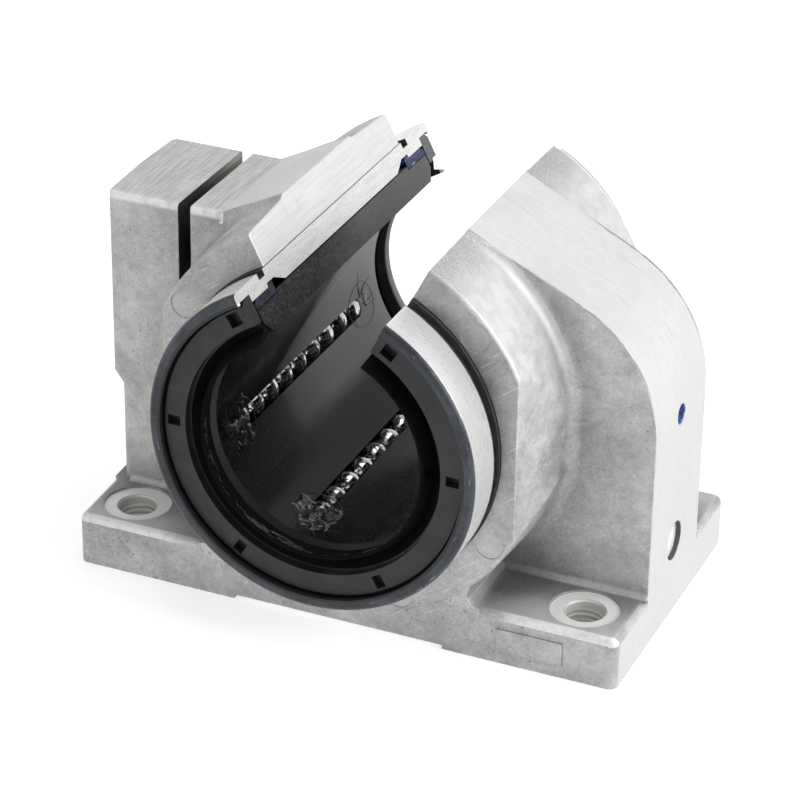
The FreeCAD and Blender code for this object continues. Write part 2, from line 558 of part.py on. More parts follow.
# Blank raised label on the base's front.
sketch = new_sketch(housing, "label_outline", "XZ", shift=("0", "0", "Dims.base_depth / 2 - 1"))
polygon(sketch, box_points(LABEL_CENTRE + " - Dims.label_width / 2",
                           LABEL_CENTRE + " + Dims.label_width / 2",
                           "Dims.label_centre_height - Dims.label_height / 2",
                           "Dims.label_centre_height + Dims.label_height / 2"))
pad(housing, "label", sketch, "1 + Dims.label_relief")
doc.recompute()


# ================================================================ bearing
def radial_box(angle, inner, outer, half_width):
    """Corners of a box that stands on a radius at the angle about the shaft axis."""
    return [("({r}) * cos({a}) - ({t}) * sin({a})".format(r=r, t=t, a=angle),
             "({r}) * sin({a}) + ({t}) * cos({a})".format(r=r, t=t, a=angle))
            for r, t in ((inner, "-({0})".format(half_width)), (outer, "-({0})".format(half_width)),
                         (outer, half_width), (inner, half_width))]


def lift_to_axis(body):
    bind(body, Placement__Base__z=ON_AXIS)


CIRCUITS = ("30", "-30", "-90", "-150", "150")

outer_ring = new_body("outer_ring")
c_ring(outer_ring, "outer_ring_blank", mirrored_section([
    (TRACK_END, TRACK_RADIUS),
    (TAPER_END, RELIEF_RADIUS),
    (SHOULDER_START, RELIEF_RADIUS),
    (SHOULDER_START + " + 0.4", SHOULDER_BORE),
    (SEAT_FLOOR, SHOULDER_BORE),
    (SEAT_FLOOR, SEAT_RADIUS),
    (SEAT_MOUTH, SEAT_RADIUS),
    (SEAT_MOUTH, LIP_RADIUS),
    (HALF_LENGTH, LIP_RADIUS),
    (HALF_LENGTH, RING_RADIUS),
    (GROOVE_FAR, RING_RADIUS),
    (GROOVE_FAR, RING_RADIUS + " - Dims.groove_depth"),
    (GROOVE_NEAR, RING_RADIUS + " - Dims.groove_depth"),
    (GROOVE_NEAR, RING_RADIUS),
]))


def is_ring_end(edge):
    radius = edge.Curve.Radius if hasattr(edge.Curve, "Radius") else 0
    at_end = near(abs(edge.CenterOfMass.y), value_of(HALF_LENGTH))
    return at_end and near(radius, value_of(RING_RADIUS))


dress_edges(outer_ring, "outer_ring_ends", "Fillet", is_ring_end, Radius="Dims.ring_end_radius")
sketch = new_sketch(outer_ring, "return_reliefs_outline", "XZ")
for circuit in CIRCUITS:
    polygon(sketch, radial_box(circuit + " + " + ROW_ANGLE, TRACK_RADIUS + " - 3",
                               RETURN_GROOVE, CHANNEL + " + Dims.return_groove_margin"))
pocket(outer_ring, "return_reliefs", sketch, "2 * (" + TAPER_END + ")",
       midplane=True)
sketch = new_sketch(outer_ring, "locator_seat_circle", "YZ", shift=("0", "0", RING_RADIUS + " + 1"))
circle(sketch, "0", "0", "Dims.locator_hole_dia / 2")
pocket(outer_ring, "locator_seat", sketch, "1 + Dims.locator_tip_depth")
lift_to_axis(outer_ring)


def turn_pockets(body, prefix, floor_height):
    """Half-round channels in which the balls turn round at both ends of every circuit."""
    for number, circuit in enumerate(CIRCUITS):
        height = floor_height
        sketch = new_sketch(
            body, "%s_turns_%d" % (prefix, number + 1), "XY",
            shift=("{0} * cos({1})".format(height, circuit), "0", "{0} * sin({1})".format(height, circuit)),
            turn_axis=Vector(0, 1, 0), turn="90 - ({0})".format(circuit))
        wide = ("(" + TURN_RADIUS + " + {0})").format(CHANNEL)
        thin = ("(" + TURN_RADIUS + " - {0})").format(CHANNEL)
        end = ROW_END
        for sign, way in (("", True), ("-", False)):
            y = sign + end
            polygon(sketch, [(wide, y), ("-" + wide, y), ("-" + thin, y), (thin, y)],
                    arcs={0: (wide, "0", y, way), 2: (thin, "0", y, not way)})
        pocket(body, "%s_turn_channels_%d" % (prefix, number + 1), sketch, "Dims.base_height",
               backwards=True)


ball_cage = new_body("ball_cage")
c_ring(ball_cage, "cage_blank", mirrored_section([
    (CAGE_END + " - Dims.cage_chamfer_along", CAGE_BORE),
    (CAGE_END, CAGE_BORE + " + Dims.cage_chamfer_across"),
    (CAGE_END, CAGE_END_OUTER),
    (CAGE_STEP, CAGE_END_OUTER),
    (CAGE_STEP, CAGE_OUTER),
]))
sketch = new_sketch(ball_cage, "cage_channels_outline", "XZ")
for circuit in CIRCUITS:
    polygon(sketch, radial_box(circuit + " - " + ROW_ANGLE, TURN_FLOOR,
                               RELIEF_RADIUS, CHANNEL))
    polygon(sketch, radial_box(circuit + " + " + ROW_ANGLE, RETURN_FLOOR,
                               RELIEF_RADIUS, CHANNEL))
pocket(ball_cage, "cage_channels", sketch, ("2 * (" + ROW_END + " + {0})").format(CHANNEL), midplane=True)
sketch = new_sketch(ball_cage, "row_slots_outline", "XZ")
for circuit in CIRCUITS:
    polygon(sketch, radial_box(circuit + " - " + ROW_ANGLE, CAGE_BORE + " - 3",
                               RELIEF_RADIUS, "(Dims.ball_dia - Dims.row_slot_inset) / 2"))
pocket(ball_cage, "row_slots", sketch, "2 * ({0} + Dims.row_slot_overrun)".format(ROW_END), midplane=True)
turn_pockets(ball_cage, "cage", TURN_FLOOR)
lift_to_axis(ball_cage)

NODES = [housing, outer_ring, ball_cage]


def both_ends(label, section, arcs=None):
    """One C-shaped piece at each end, the rear one a mirror image of the front one."""
    made = []
    for end, sign in (("front", "-"), ("rear", "")):
        body = new_body("%s_%s" % (label, end))
        c_ring(body, "%s_%s_blank" % (label, end),
               [("{0}({1})".format(sign, along), radius) for along, radius in section])
        lift_to_axis(body)
        made.append((body, end, sign))
        NODES.append(body)
    return made


# End rings, with rectangular notches in their faces.
NOTCHES = (("0", "1"), ("180", "1"), ("-60.5", "1"), ("-121.5", "1"),
           ("Dims.notch_edge_angle", "1.35"), ("180 - Dims.notch_edge_angle", "1.35"))
for body, end, sign in both_ends("end_ring", [
        (SEAT_FLOOR, PLATE_WEB_INNER),
        (PLATE_WEB, PLATE_WEB_INNER),
        (PLATE_WEB, PLATE_INNER),
        (PLATE_FACE, PLATE_INNER),
        (PLATE_FACE, PLATE_OUTER),
        (PLATE_FACE + " - Dims.end_ring_bevel", SEAT_RADIUS + " - Dims.seat_gap"),
        (SEAT_FLOOR, SEAT_RADIUS + " - Dims.seat_gap")]):
    sketch = new_sketch(body, "notches_%s_outline" % end, "XZ",
                        shift=("0", "0", PLATE_FACE if end == "front" else "-" + PLATE_FACE))
    for angle, factor in NOTCHES:
        polygon(sketch, radial_box(angle, NOTCH_INNER, NOTCH_OUTER,
                                   "Dims.notch_width / 2 * " + factor))
    pocket(body, "notches_%s" % end, sketch, "Dims.notch_depth", backwards=(end == "rear"))

both_ends("seal_lip", [
    (TIP_FACE, SEAL_TIP),
    (TIP_FACE + " - Dims.seal_tip_land", SEAL_TIP),
    (HEEL_FACE, SEAL_HEEL + " - Dims.seal_thickness / 2"),
    (HEEL_FACE, SEAL_HEEL + " + Dims.seal_thickness / 2"),
    (PLATE_WEB + " - 1.5", PLATE_WEB_INNER + " - Dims.seal_joint"),
    (PLATE_WEB, PLATE_WEB_INNER + " - Dims.seal_joint"),
    (HEEL_FACE + " + 1.4", SEAL_HEEL + " + Dims.seal_thickness / 2 + 0.25"),
    (TIP_FACE, SEAL_TIP + " + Dims.seal_tip_thickness"),
])

for body, end, sign in both_ends("grease_ring", [
        (CAGE_STEP + " + 0.2", GREASE_INNER),
        (GREASE_END, GREASE_INNER),
        (GREASE_END, SHOULDER_BORE + " - 0.9"),
        (GREASE_END + " - 1.1", SHOULDER_BORE + " - Dims.grease_ring_gap / 2"),
        (SHOULDER_START + " + 0.3", SHOULDER_BORE + " - Dims.grease_ring_gap / 2"),
        (SHOULDER_START + " - 0.5", RELIEF_RADIUS + " - Dims.grease_ring_gap"),
        (CAGE_STEP + " + 0.2", RELIEF_RADIUS + " - Dims.grease_ring_gap")]):
    turn_pockets(body, "grease_ring_" + end, TURN_FLOOR)


def ball_group(label, centres):
    """Separate balls of one row, each centred at x, y, z expressions."""
    balls = []
    for number, (x, y, z) in enumerate(centres):
        ball = doc.addObject("Part::Sphere", "%s_ball_%d" % (label, number + 1))
        bind(ball, Radius=BALL_RADIUS, Placement__Base__x=x, Placement__Base__y=y,
             Placement__Base__z=ON_AXIS + " + " + z)
        balls.append(ball)
    group = doc.addObject("Part::Compound", label)
    group.Label = label
    group.Links = balls
    NODES.append(group)


ROW_PLACES = ["{0} * ({1})".format(BALL_PITCH, step) for step in range(-ROW_STEPS, ROW_STEPS + 1)]
for number, circuit in enumerate(CIRCUITS):
    angle = "({0} - {1})".format(circuit, ROW_ANGLE)
    ball_group("loaded_balls_%d" % (number + 1), [
        ("{0} * cos({1})".format(LOADED_RADIUS, angle), place,
         "{0} * sin({1})".format(LOADED_RADIUS, angle)) for place in ROW_PLACES])
for number, circuit in enumerate(CIRCUITS):
    angle = "({0} + {1})".format(circuit, ROW_ANGLE)
    centres = [((RETURN_RADIUS + " * cos({0})").format(angle), place,
                (RETURN_RADIUS + " * sin({0})").format(angle)) for place in ROW_PLACES]
    for end in ("", "-"):
        for turn in ("60", "120"):
            across = ("(" + TURN_RADIUS + " * cos({0}))").format(turn)
            centres.append((
                ("(" + TURN_LEVEL + " * cos({0}) - {1} * sin({0}))").format(circuit, across),
                ("{0}(" + ROW_END + " + " + TURN_RADIUS + " * sin({1}))").format(end, turn),
                ("(" + TURN_LEVEL + " * sin({0}) + {1} * cos({0}))").format(circuit, across)))
    ball_group("return_balls_%d" % (number + 1), centres)


# ================================================================ screws, both along X
def headless_screw(label, radius, start_x, end_x, height, socket_width, socket_depth, socket_end, tip):
    """A cylinder along X with a hexagon socket in one end and a bevelled point at the other."""
    body = new_body(label)
    low, high = (start_x, end_x)
    sketch = new_sketch(body, label + "_section", "XZ")
    if socket_end == "low":
        points = [(low, "0"), (low, radius), (high + " - " + tip, radius),
                  (high, radius + " - " + tip), (high, "0")]
    else:
        points = [(high, "0"), (high, radius), (low + " + " + tip, radius),
                  (low, radius + " - " + tip), (low, "0")]
    polygon(sketch, points)
    turned = body.newObject("PartDesign::Revolution", label + "_shank")
    turned.Profile = sketch
    turned.ReferenceAxis = (sketch, ["H_Axis"])
    turned.Angle = 360
    face = low if socket_end == "low" else high
    sketch = new_sketch(body, label + "_socket_outline", "YZ", shift=("0", "0", face))
    across = "({0} / 2 / cos(30))".format(socket_width)
    polygon(sketch, [("{0} * cos({1})".format(across, angle), "{0} * sin({1})".format(across, angle))
                     for angle in (30, 90, 150, 210, 270, 330)])
    pocket(body, label + "_socket", sketch, socket_depth, backwards=(socket_end == "low"))
    bind(body, Placement__Base__z=height)
    NODES.append(body)
    return body


headless_screw("locating_screw", "(Dims.locator_hole_dia / 2 - Dims.locator_clearance)",
               "(" + RING_RADIUS + " - Dims.locator_tip_depth + Dims.locator_tip_gap)",
               "(Dims.base_width / 2 - Dims.locator_sink)", ON_AXIS,
               "Dims.locator_socket", "Dims.locator_socket_depth", "high", "0.5")
ADJUSTER_TIP = "(-" + SLOT_OFFSET + " + Dims.slot_width / 2 - Dims.adjuster_tip_gap)"
headless_screw("adjusting_screw", "(Dims.adjuster_hole_dia / 2 - Dims.adjuster_clearance)",
               "({0} - Dims.adjuster_length)".format(ADJUSTER_TIP), ADJUSTER_TIP,
               ADJUSTER_HEIGHT, "Dims.adjuster_socket", "Dims.adjuster_socket_depth",
               "low", "1")

# ================================================================ check and export
doc.recompute()
for thing in doc.Objects:
    if "Invalid" in thing.State or "Error" in thing.State:
        raise RuntimeError("%s is in state %s" % (thing.Name, thing.State))
os.makedirs("parts", exist_ok=True)
for node in NODES:
    if node.Shape.isNull() or not node.Shape.isValid() or not node.Shape.Solids:
        raise RuntimeError("%s has no valid shape" % node.Label)
for node in NODES:
    node.Shape.exportStep("parts/%s.step" % node.Label)
print("exported %d nodes" % len(NODES))
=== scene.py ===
import json
import math
import random
from types import SimpleNamespace

import bmesh
import bpy
from mathutils import Matrix, Vector, noise


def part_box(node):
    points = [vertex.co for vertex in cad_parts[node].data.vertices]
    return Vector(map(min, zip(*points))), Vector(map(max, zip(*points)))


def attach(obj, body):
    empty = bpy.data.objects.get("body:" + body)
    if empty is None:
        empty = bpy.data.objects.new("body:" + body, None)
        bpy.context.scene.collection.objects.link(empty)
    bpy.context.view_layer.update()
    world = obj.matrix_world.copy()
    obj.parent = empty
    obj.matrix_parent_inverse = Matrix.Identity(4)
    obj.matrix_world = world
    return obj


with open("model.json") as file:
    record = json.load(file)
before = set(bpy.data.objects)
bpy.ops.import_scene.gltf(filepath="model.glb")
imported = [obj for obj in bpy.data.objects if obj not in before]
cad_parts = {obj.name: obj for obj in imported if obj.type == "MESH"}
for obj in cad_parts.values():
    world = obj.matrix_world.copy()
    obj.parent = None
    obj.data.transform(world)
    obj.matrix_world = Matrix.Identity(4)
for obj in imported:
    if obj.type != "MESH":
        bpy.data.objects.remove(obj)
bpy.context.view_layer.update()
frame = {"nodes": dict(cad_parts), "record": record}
NODES = frame["nodes"]
ROOT = "block"
MM = 0.001

# ------------------------------------------------------------------ sizes and places, in metres
mounts = {mount["name"]: mount for mount in frame["record"]["mounts"]}
bolts = mounts["foot_bolts"]
house_low, house_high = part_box("housing")
# the shaft's axis, the foot holes and the level of their spotfaces
AXIS_Z = mounts["shaft_bore"]["pos_m"][2]
HOLE_X = bolts["dims"]["spacing_x_mm"] * MM / 2
HOLE_Y = bolts["dims"]["spacing_y_mm"] * MM / 2
SPOT_Z = bolts["pos_m"][2]
THREAD_PITCH = 1.25 * MM
# the casting's faces: right side, boss front, base front, tops of the feet and the jaw
SIDE_X = house_high[0]
BOSS_FRONT = house_low[1]
BASE_FRONT = BOSS_FRONT + 0.3 * MM
FOOT_TOP = SPOT_Z + 0.5 * MM
JAW_TOP = AXIS_Z + 34.0 * MM
# half the web's thickness, the saw slot's middle, just outside the bore's wall, the recess's middle
HALF_WEB = 16.0 * MM
SLOT_X = -45.5 * MM
PAST_BORE = 37.7 * MM
RECESS_Z = 18.5 * MM
# half the angle of the opening for the shaft's rail
HALF_OPEN = math.radians(27.0)
OPEN_SIN = math.sin(HALF_OPEN)
OPEN_COS = math.cos(HALF_OPEN)
# cosine of the angle within which a face counts as lying in a plane
FLAT = 0.9995
# colour of edges and high spots that are rubbed bright, also of the painted highlights on edges
RUBBED_AND_HIGHLIGHT = (0.84, 0.84, 0.835)


# ------------------------------------------------------------------ node tree helper
class Nodes:
    """Short names for building the node tree of a material or of the world."""

    def __init__(self, owner, output="OutputMaterial"):
        owner.use_nodes = True
        self.owner = owner
        self.tree = owner.node_tree
        self.tree.nodes.clear()
        self.out = self.make(output)
        self.coords = self.make("TexCoord").outputs
        self.coord = self.coords["Object"]

    def _put(self, socket, value):
        if hasattr(value, "is_output"):
            self.tree.links.new(value, socket)
        elif value is not None:
            if socket.type == "RGBA" and isinstance(value, (int, float)):
                value = (value, value, value, 1.0)
            elif socket.type == "RGBA" and len(value) == 3:
                value = (*value, 1.0)
            socket.default_value = value

    def make(self, kind, *values, **named):
        """A node whose first inputs take these values in order, and others by their names."""
        node = self.tree.nodes.new("ShaderNode" + kind)
        for socket, value in zip(node.inputs, values):
            self._put(socket, value)
        for name, value in named.items():
            self._put(node.inputs[name.replace("_", " ")], value)
        return node

    def finish(self, shader):
        """Joins the shader to the tree's output, and returns the material or world."""
        self.tree.links.new(shader.outputs[0], self.out.inputs["Surface"])
        return self.owner

    def math(self, kind, *values):
        node = self.make("Math", *values)
        node.operation = kind
        return node.outputs[0]

    def fold(self, kind, values):
        """The same operation over several values, from left to right."""
        total = values[0]
        for value in values[1:]:
            total = self.math(kind, total, value)
        return total

    def add(self, *values):
        return self.fold("ADD", values)

    def mul(self, *values):
        return self.fold("MULTIPLY", values)

    def most(self, *values):
        return self.fold("MAXIMUM", values)

    def sub(self, a, b):
        return self.math("SUBTRACT", a, b)

    def above(self, a, b):
        return self.math("GREATER_THAN", a, b)

    def below(self, a, b):
        return self.math("LESS_THAN", a, b)

    def near(self, a, b, within):
        return self.math("COMPARE", a, b, within)

    def size(self, a):
        return self.math("ABSOLUTE", a)

    def angle(self, up, across):
        return self.math("ARCTAN2", up, across)

    def length(self, a, b):
        return self.math("SQRT", self.add(self.mul(a, a), self.mul(b, b)))

    def vector(self, kind, a, b):
        node = self.make("VectorMath", a, b)
        node.operation = kind
        return node.outputs["Value" if kind == "DOT_PRODUCT" else "Vector"]

    def split(self, value):
        return self.make("SeparateXYZ", value).outputs

    def join(self, x, y, z):
        return self.make("CombineXYZ", x, y, z).outputs[0]

    def noise(self, scale, detail, rough, stretch=None, distortion=0.0, at=None, shift=None):
        place = self.coord if at is None else at
        if stretch is not None:
            place = self.vector("MULTIPLY", place, stretch)
        if shift is not None:
            place = self.vector("ADD", place, shift)
        node = self.make("TexNoise", Vector=place, Scale=scale, Detail=detail, Roughness=rough,
                         Distortion=distortion)
        return node.outputs["Fac"]

    def ramp(self, value, low, high, out_low=0.0, out_high=1.0, smooth=True):
        node = self.make("MapRange", Value=value, From_Min=low, From_Max=high, To_Min=out_low,
                         To_Max=out_high)
        node.interpolation_type = "SMOOTHSTEP" if smooth else "LINEAR"
        return node.outputs["Result"]

    def mix(self, amount, a, b):
        """A colour between two colours."""
        node = self.make("Mix", amount)
        node.data_type = "RGBA"
        self._put(node.inputs[6], a)
        self._put(node.inputs[7], b)
        return node.outputs[2]

    def blend(self, amount, a, b):
        """A number between two numbers."""
        return self.make("Mix", amount, None, a, b).outputs[0]

    def bump(self, height, distance, strength, normal=None):
        node = self.make("Bump", Height=height, Distance=distance, Strength=strength, Normal=normal)
        return node.outputs[0]

    def surface(self, **inputs):
        return self.finish(self.make("BsdfPrincipled", **inputs))


def new_tree(name):
    """The node tree of a new material."""
    return Nodes(bpy.data.materials.new(name))


def paint(obj, material):
    """Gives an object this material in place of the ones it has."""
    obj.data.materials.clear()
    obj.data.materials.append(material)


def surface_point(n):
    """Where the shaded point lies and faces. The radius and polar angle are about the shaft axis."""
    x, y, z = n.split(n.coord)
    nx, ny, nz = n.split(n.make("NewGeometry").outputs["True Normal"])
    rel_z = n.sub(z, AXIS_Z)
    return SimpleNamespace(x=x, y=y, z=z, nx=nx, ny=ny, nz=nz, rel_z=rel_z, far_x=n.size(x), far_y=n.size(y),
                           radius=n.length(x, rel_z), polar=n.angle(rel_z, x))


def faces_opening(n, at):
    """How nearly a face lies in one of the two planes of the opening's cut: 1 when it does."""
    return n.add(n.mul(n.size(at.nx), OPEN_COS), n.mul(at.nz, OPEN_SIN))


def on_cut(n, at):
    """1 on the two faces that the opening cut through the bearing, in planes through the shaft axis."""
    off_plane = n.sub(n.mul(at.rel_z, OPEN_SIN), n.mul(at.far_x, OPEN_COS))
    return n.mul(n.above(faces_opening(n, at), FLAT), n.near(off_plane, 0.0, 0.2 * MM))


# ------------------------------------------------------------------ the housing's material
def housing_textures(n):
    """The noises, occlusion and rounded normal that the housing's skins share."""
    occlusion = n.make("AmbientOcclusion", Distance=13.0 * MM)
    occlusion.samples = 6
    occlusion.only_local = True
    rounded = n.make("Bevel", Radius=0.5 * MM)
    rounded.samples = 4
    return SimpleNamespace(
        clouds=n.noise(52.0, 5.0, 0.62, distortion=0.6),
        middle=n.noise(300.0, 5.0, 0.70, distortion=0.3),
        grain=n.noise(1500.0, 3.0, 0.75),
        speck=n.noise(3300.0, 2.0, 0.7),
        pores=n.ramp(n.noise(1500.0, 2.0, 0.5, shift=(3.1, 1.7, 0.4)), 0.66, 0.72),
        streaks=n.noise(1700.0, 3.0, 0.65, stretch=(0.22, 1.0, 0.22), distortion=0.2),
        lines=n.noise(1500.0, 3.0, 0.65, stretch=(1.0, 0.04, 1.0)),
        fine=n.noise(3600.0, 2.0, 0.6, stretch=(1.0, 0.03, 1.0)),
        occlusion=occlusion.outputs["AO"], rounded=rounded.outputs[0])


def housing_faces(n, at, tex):
    """Masks: where the cutters went, the clean slopes, the feet's tops, the boss's upper flanks that get
    painted light, and the strip by the cut that gets painted shade.
    """
    side = n.mul(n.above(at.nx, 0.9985), n.above(at.x, SIDE_X - 1.5 * MM))
    cut = n.mul(n.above(faces_opening(n, at), FLAT), n.below(at.far_x, 32.0 * MM))
    up = n.above(at.nz, FLAT)
    jaw = n.mul(up, n.above(at.z, JAW_TOP - 4.0 * MM))
    spot = n.mul(up, n.near(at.z, SPOT_Z, 0.1 * MM))
    machined = n.most(jaw, cut, spot, n.below(at.nz, -FLAT))

    across_opening = n.add(n.mul(n.size(at.nx), OPEN_SIN), n.mul(at.nz, OPEN_COS))
    slope = n.mul(n.above(across_opening, 0.985), n.above(at.z, AXIS_Z + 12.0 * MM))
    shoulder = n.mul(n.below(n.size(at.ny), 0.02), n.above(at.nx, 0.2), n.above(at.x, 42.0 * MM))
    slope = n.mul(n.most(slope, shoulder), n.below(at.far_y, HALF_WEB + 0.1 * MM))
    slope = n.mul(n.most(slope, side), n.sub(1.0, machined))

    foot = n.mul(n.above(at.nz, 0.9), n.below(at.z, FOOT_TOP + 1.8 * MM), n.above(at.z, FOOT_TOP - 0.3 * MM))
    right_boss = n.mul(n.above(at.far_y, HALF_WEB + 0.15 * MM), n.below(n.size(at.ny), 0.93),
                       n.above(at.radius, 40.0 * MM), n.above(at.x, 8.0 * MM))
    # painted light on the boss's upper flanks, more the higher they face, and painted shade on a strip by
    # the cut
    lit_flank = n.mul(right_boss, n.ramp(at.polar, math.radians(6.0), math.radians(36.0)))
    shade_by_cut = n.mul(right_boss, n.ramp(n.add(at.polar, n.mul(tex.clouds, 0.12)),
                                      math.radians(50.0), math.radians(66.0)))
    return SimpleNamespace(jaw=jaw, spot=spot, machined=machined, slope=slope, foot=foot, lit_flank=lit_flank,
                           shade_by_cut=shade_by_cut, right=n.most(side, shoulder))


def foot_holes(n, at, face):
    """Turning marks on the spotfaces, and the thread lines on the walls of the tapped holes."""
    x = n.sub(at.far_x, HOLE_X)
    y = n.sub(at.far_y, HOLE_Y)
    radius = n.length(x, y)
    rings = n.mul(n.math("SINE", n.mul(radius, 9000.0)), face.spot)
    inside = n.mul(n.below(radius, 4.75 * MM), n.below(at.z, SPOT_Z - 0.1 * MM))
    turns = n.add(n.math("DIVIDE", at.z, THREAD_PITCH), n.math("DIVIDE", n.angle(y, x), 2 * math.pi))
    thread = n.mul(n.math("SINE", n.mul(turns, 2 * math.pi)), inside, n.below(at.z, 9.6 * MM))
    return SimpleNamespace(rings=rings, inside=inside, thread=thread)


def cast_grain(n, at, tex):
    """Fine salt-and-pepper grain over faint clouds, with pores, scuffs, pale wisps and smudges."""
    tone = n.add(n.mul(tex.clouds, 0.36), n.mul(tex.middle, 0.30), n.mul(tex.grain, 0.20),
                 n.mul(tex.speck, 0.14))
    cast = n.mix(n.ramp(tone, 0.40, 0.60, smooth=False), (0.33, 0.328, 0.322), (0.67, 0.67, 0.665))
    patches = n.ramp(n.noise(60.0, 3.0, 0.6, shift=(0.7, 2.3, 1.1)), 0.42, 0.60)
    cast = n.mix(n.mul(tex.pores, patches, 0.8), cast, (0.09, 0.088, 0.085))
    scuff = n.ramp(n.noise(420.0, 4.0, 0.7, stretch=(1.0, 1.0, 4.0), shift=(5.0, 0.0, 0.0)), 0.60, 0.74)
    cast = n.mix(n.mul(scuff, 0.45), cast, (0.70, 0.70, 0.695))
    for scale, shift in ((250.0, (1.0, 6.0, 2.0)), (520.0, (4.0, 2.0, 7.0))):
        off_middle = n.size(n.sub(n.noise(scale, 2.0, 0.55, distortion=1.6, shift=shift), 0.5))
        wisp = n.mul(n.ramp(off_middle, 0.0, 0.014, 1.0, 0.0),
                     n.ramp(n.noise(130.0, 2.0, 0.5, shift=shift), 0.47, 0.60))
        cast = n.mix(n.mul(wisp, 0.42), cast, RUBBED_AND_HIGHLIGHT)
    stain = n.noise(75.0, 4.0, 0.65, distortion=0.8, shift=(2.0, 5.0, 8.0))
    smudge = n.mul(n.ramp(stain, 0.54, 0.70), n.ramp(tex.grain, 0.35, 0.65, 0.4, 1.0))
    cast = n.mix(n.mul(smudge, 0.34), cast, (0.16, 0.158, 0.152))
    low_right = n.mul(n.below(at.z, FOOT_TOP - 0.2 * MM), n.ramp(at.x, -10.0 * MM, 30.0 * MM))
    cast = n.mix(n.mul(low_right, 0.16), cast, (0.10, 0.098, 0.095))
    warm = n.ramp(n.noise(34.0, 2.0, 0.5, shift=(9.0, 4.0, 2.0)), 0.54, 0.74)
    return n.mix(n.mul(warm, 0.14), cast, (0.42, 0.385, 0.335))


def cast_marks(n, at, tex, face, cast):
    """What sets some places of the casting apart: painted light and shade on its flanks and feet, ejector
    marks, a ring of painted shade round the bore, and scratches.
    """
    # painted light on the boss's upper flanks
    light = n.mix(n.ramp(tex.middle, 0.35, 0.65), 0.62, 0.70)
    cast = n.mix(n.mul(face.lit_flank, 0.88), cast, light)
    # painted shade, dull and grainy, on the strip by the cut
    shaded_grain = n.mix(n.ramp(tex.speck, 0.40, 0.60), (0.24, 0.24, 0.238), (0.52, 0.52, 0.517))
    cast = n.mix(n.mul(face.shade_by_cut, 0.75), cast, shaded_grain)
    # the feet's tops are smooth, with painted shade near the web and a painted highlight toward the front
    # and rear edges
    uneven_y = n.add(at.far_y, n.mul(n.sub(tex.clouds, 0.5), 14.0 * MM))
    foot_shade_and_highlight = n.mix(n.ramp(uneven_y, 22.0 * MM, 33.0 * MM), (0.27, 0.272, 0.277), (0.56, 0.562, 0.566))
    cast = n.mix(n.mul(face.foot, 0.78), cast, foot_shade_and_highlight)
    # pale discs where the ejectors pushed
    disc = n.mul(n.below(at.ny, -0.99), n.near(at.y, BOSS_FRONT + 0.15 * MM, 0.06 * MM))
    cast = n.mix(n.mul(disc, 0.35), cast, (0.66, 0.66, 0.655))
    # a ring of painted shade on the front round the bore, deeper toward the top, and slanting scratches
    # there
    near_bore = n.below(at.radius, 47.0 * MM)
    to_front = n.below(at.ny, -0.9)
    front_ring_shade = n.mul(near_bore, to_front, n.ramp(at.z, 40.0 * MM, 66.0 * MM, 0.0, 0.24))
    cast = n.mix(front_ring_shade, cast, (0.20, 0.20, 0.197))
    slanted = n.join(n.add(n.mul(at.x, 0.8), n.mul(at.z, 0.6)), 0.0,
                     n.sub(n.mul(at.z, 0.8), n.mul(at.x, 0.6)))
    scratch = n.noise(2100.0, 2.0, 0.5, at=slanted, stretch=(0.07, 1.0, 1.0), distortion=0.25)
    scratch = n.mul(n.ramp(scratch, 0.60, 0.70), to_front, n.blend(near_bore, 0.15, 0.45))
    return n.mix(scratch, cast, (0.80, 0.80, 0.79))


def cast_wear(n, at, tex, face, cast):
    """Painted shade in the casting's corners, and outer edges rubbed bright, partly wear and partly painted
    highlights.
    """
    # painted shade: darker where the occlusion is deep, with patches of deeper painted shade in the corners
    cast = n.mix(n.ramp(tex.occlusion, 0.35, 1.0, 0.62, 1.0, smooth=False), 0.0, cast)
    corner_shade = n.mul(n.ramp(tex.occlusion, 0.38, 0.72, 1.0, 0.0), n.ramp(tex.middle, 0.38, 0.62, 0.25, 1.0))
    cast = n.mix(n.mul(corner_shade, 0.60), cast, (0.12, 0.117, 0.11))
    # outer edges lightened, partly as wear and partly as a painted highlight
    turned_by = n.vector("DOT_PRODUCT", tex.rounded, n.make("NewGeometry").outputs["True Normal"])
    edge_wear_and_highlight = n.mul(n.ramp(turned_by, 0.90, 0.985, 1.0, 0.0), n.ramp(tex.occlusion, 0.75, 0.9),
                   n.ramp(tex.middle, 0.40, 0.60, 0.25, 0.9))
    cast = n.mix(edge_wear_and_highlight, cast, RUBBED_AND_HIGHLIGHT)
    # painted highlights on the front top edges of the jaw and of the base, where they were rounded over
    outward = n.below(at.ny, -0.12)
    rolled = n.mul(outward, n.above(at.nz, 0.12), n.below(at.nz, 0.99))
    jaw_highlight = n.most(rolled, n.mul(outward, n.ramp(at.z, JAW_TOP - 2.1 * MM, JAW_TOP - 1.1 * MM)))
    jaw_highlight = n.mul(jaw_highlight, n.above(at.z, JAW_TOP - 2.5 * MM), n.below(at.x, -36.0 * MM),
                    n.above(at.y, -HALF_WEB - 0.3 * MM))
    base_highlight = n.most(rolled, n.mul(outward, n.ramp(at.z, FOOT_TOP - 1.4 * MM, FOOT_TOP - 0.7 * MM)),
                      n.mul(face.foot, n.ramp(at.y, BASE_FRONT + 1.5 * MM, BASE_FRONT + 0.8 * MM)))
    base_highlight = n.mul(base_highlight, n.above(at.z, FOOT_TOP - 2.2 * MM), n.below(at.z, FOOT_TOP + 0.5 * MM),
                     n.below(at.y, BASE_FRONT + 2.2 * MM), n.ramp(at.far_x, 35.0 * MM, 44.0 * MM))
    edge_highlight = n.mul(n.most(jaw_highlight, base_highlight), n.ramp(tex.middle, 0.36, 0.56, 0.60, 0.95))
    return n.mix(edge_highlight, cast, RUBBED_AND_HIGHLIGHT)


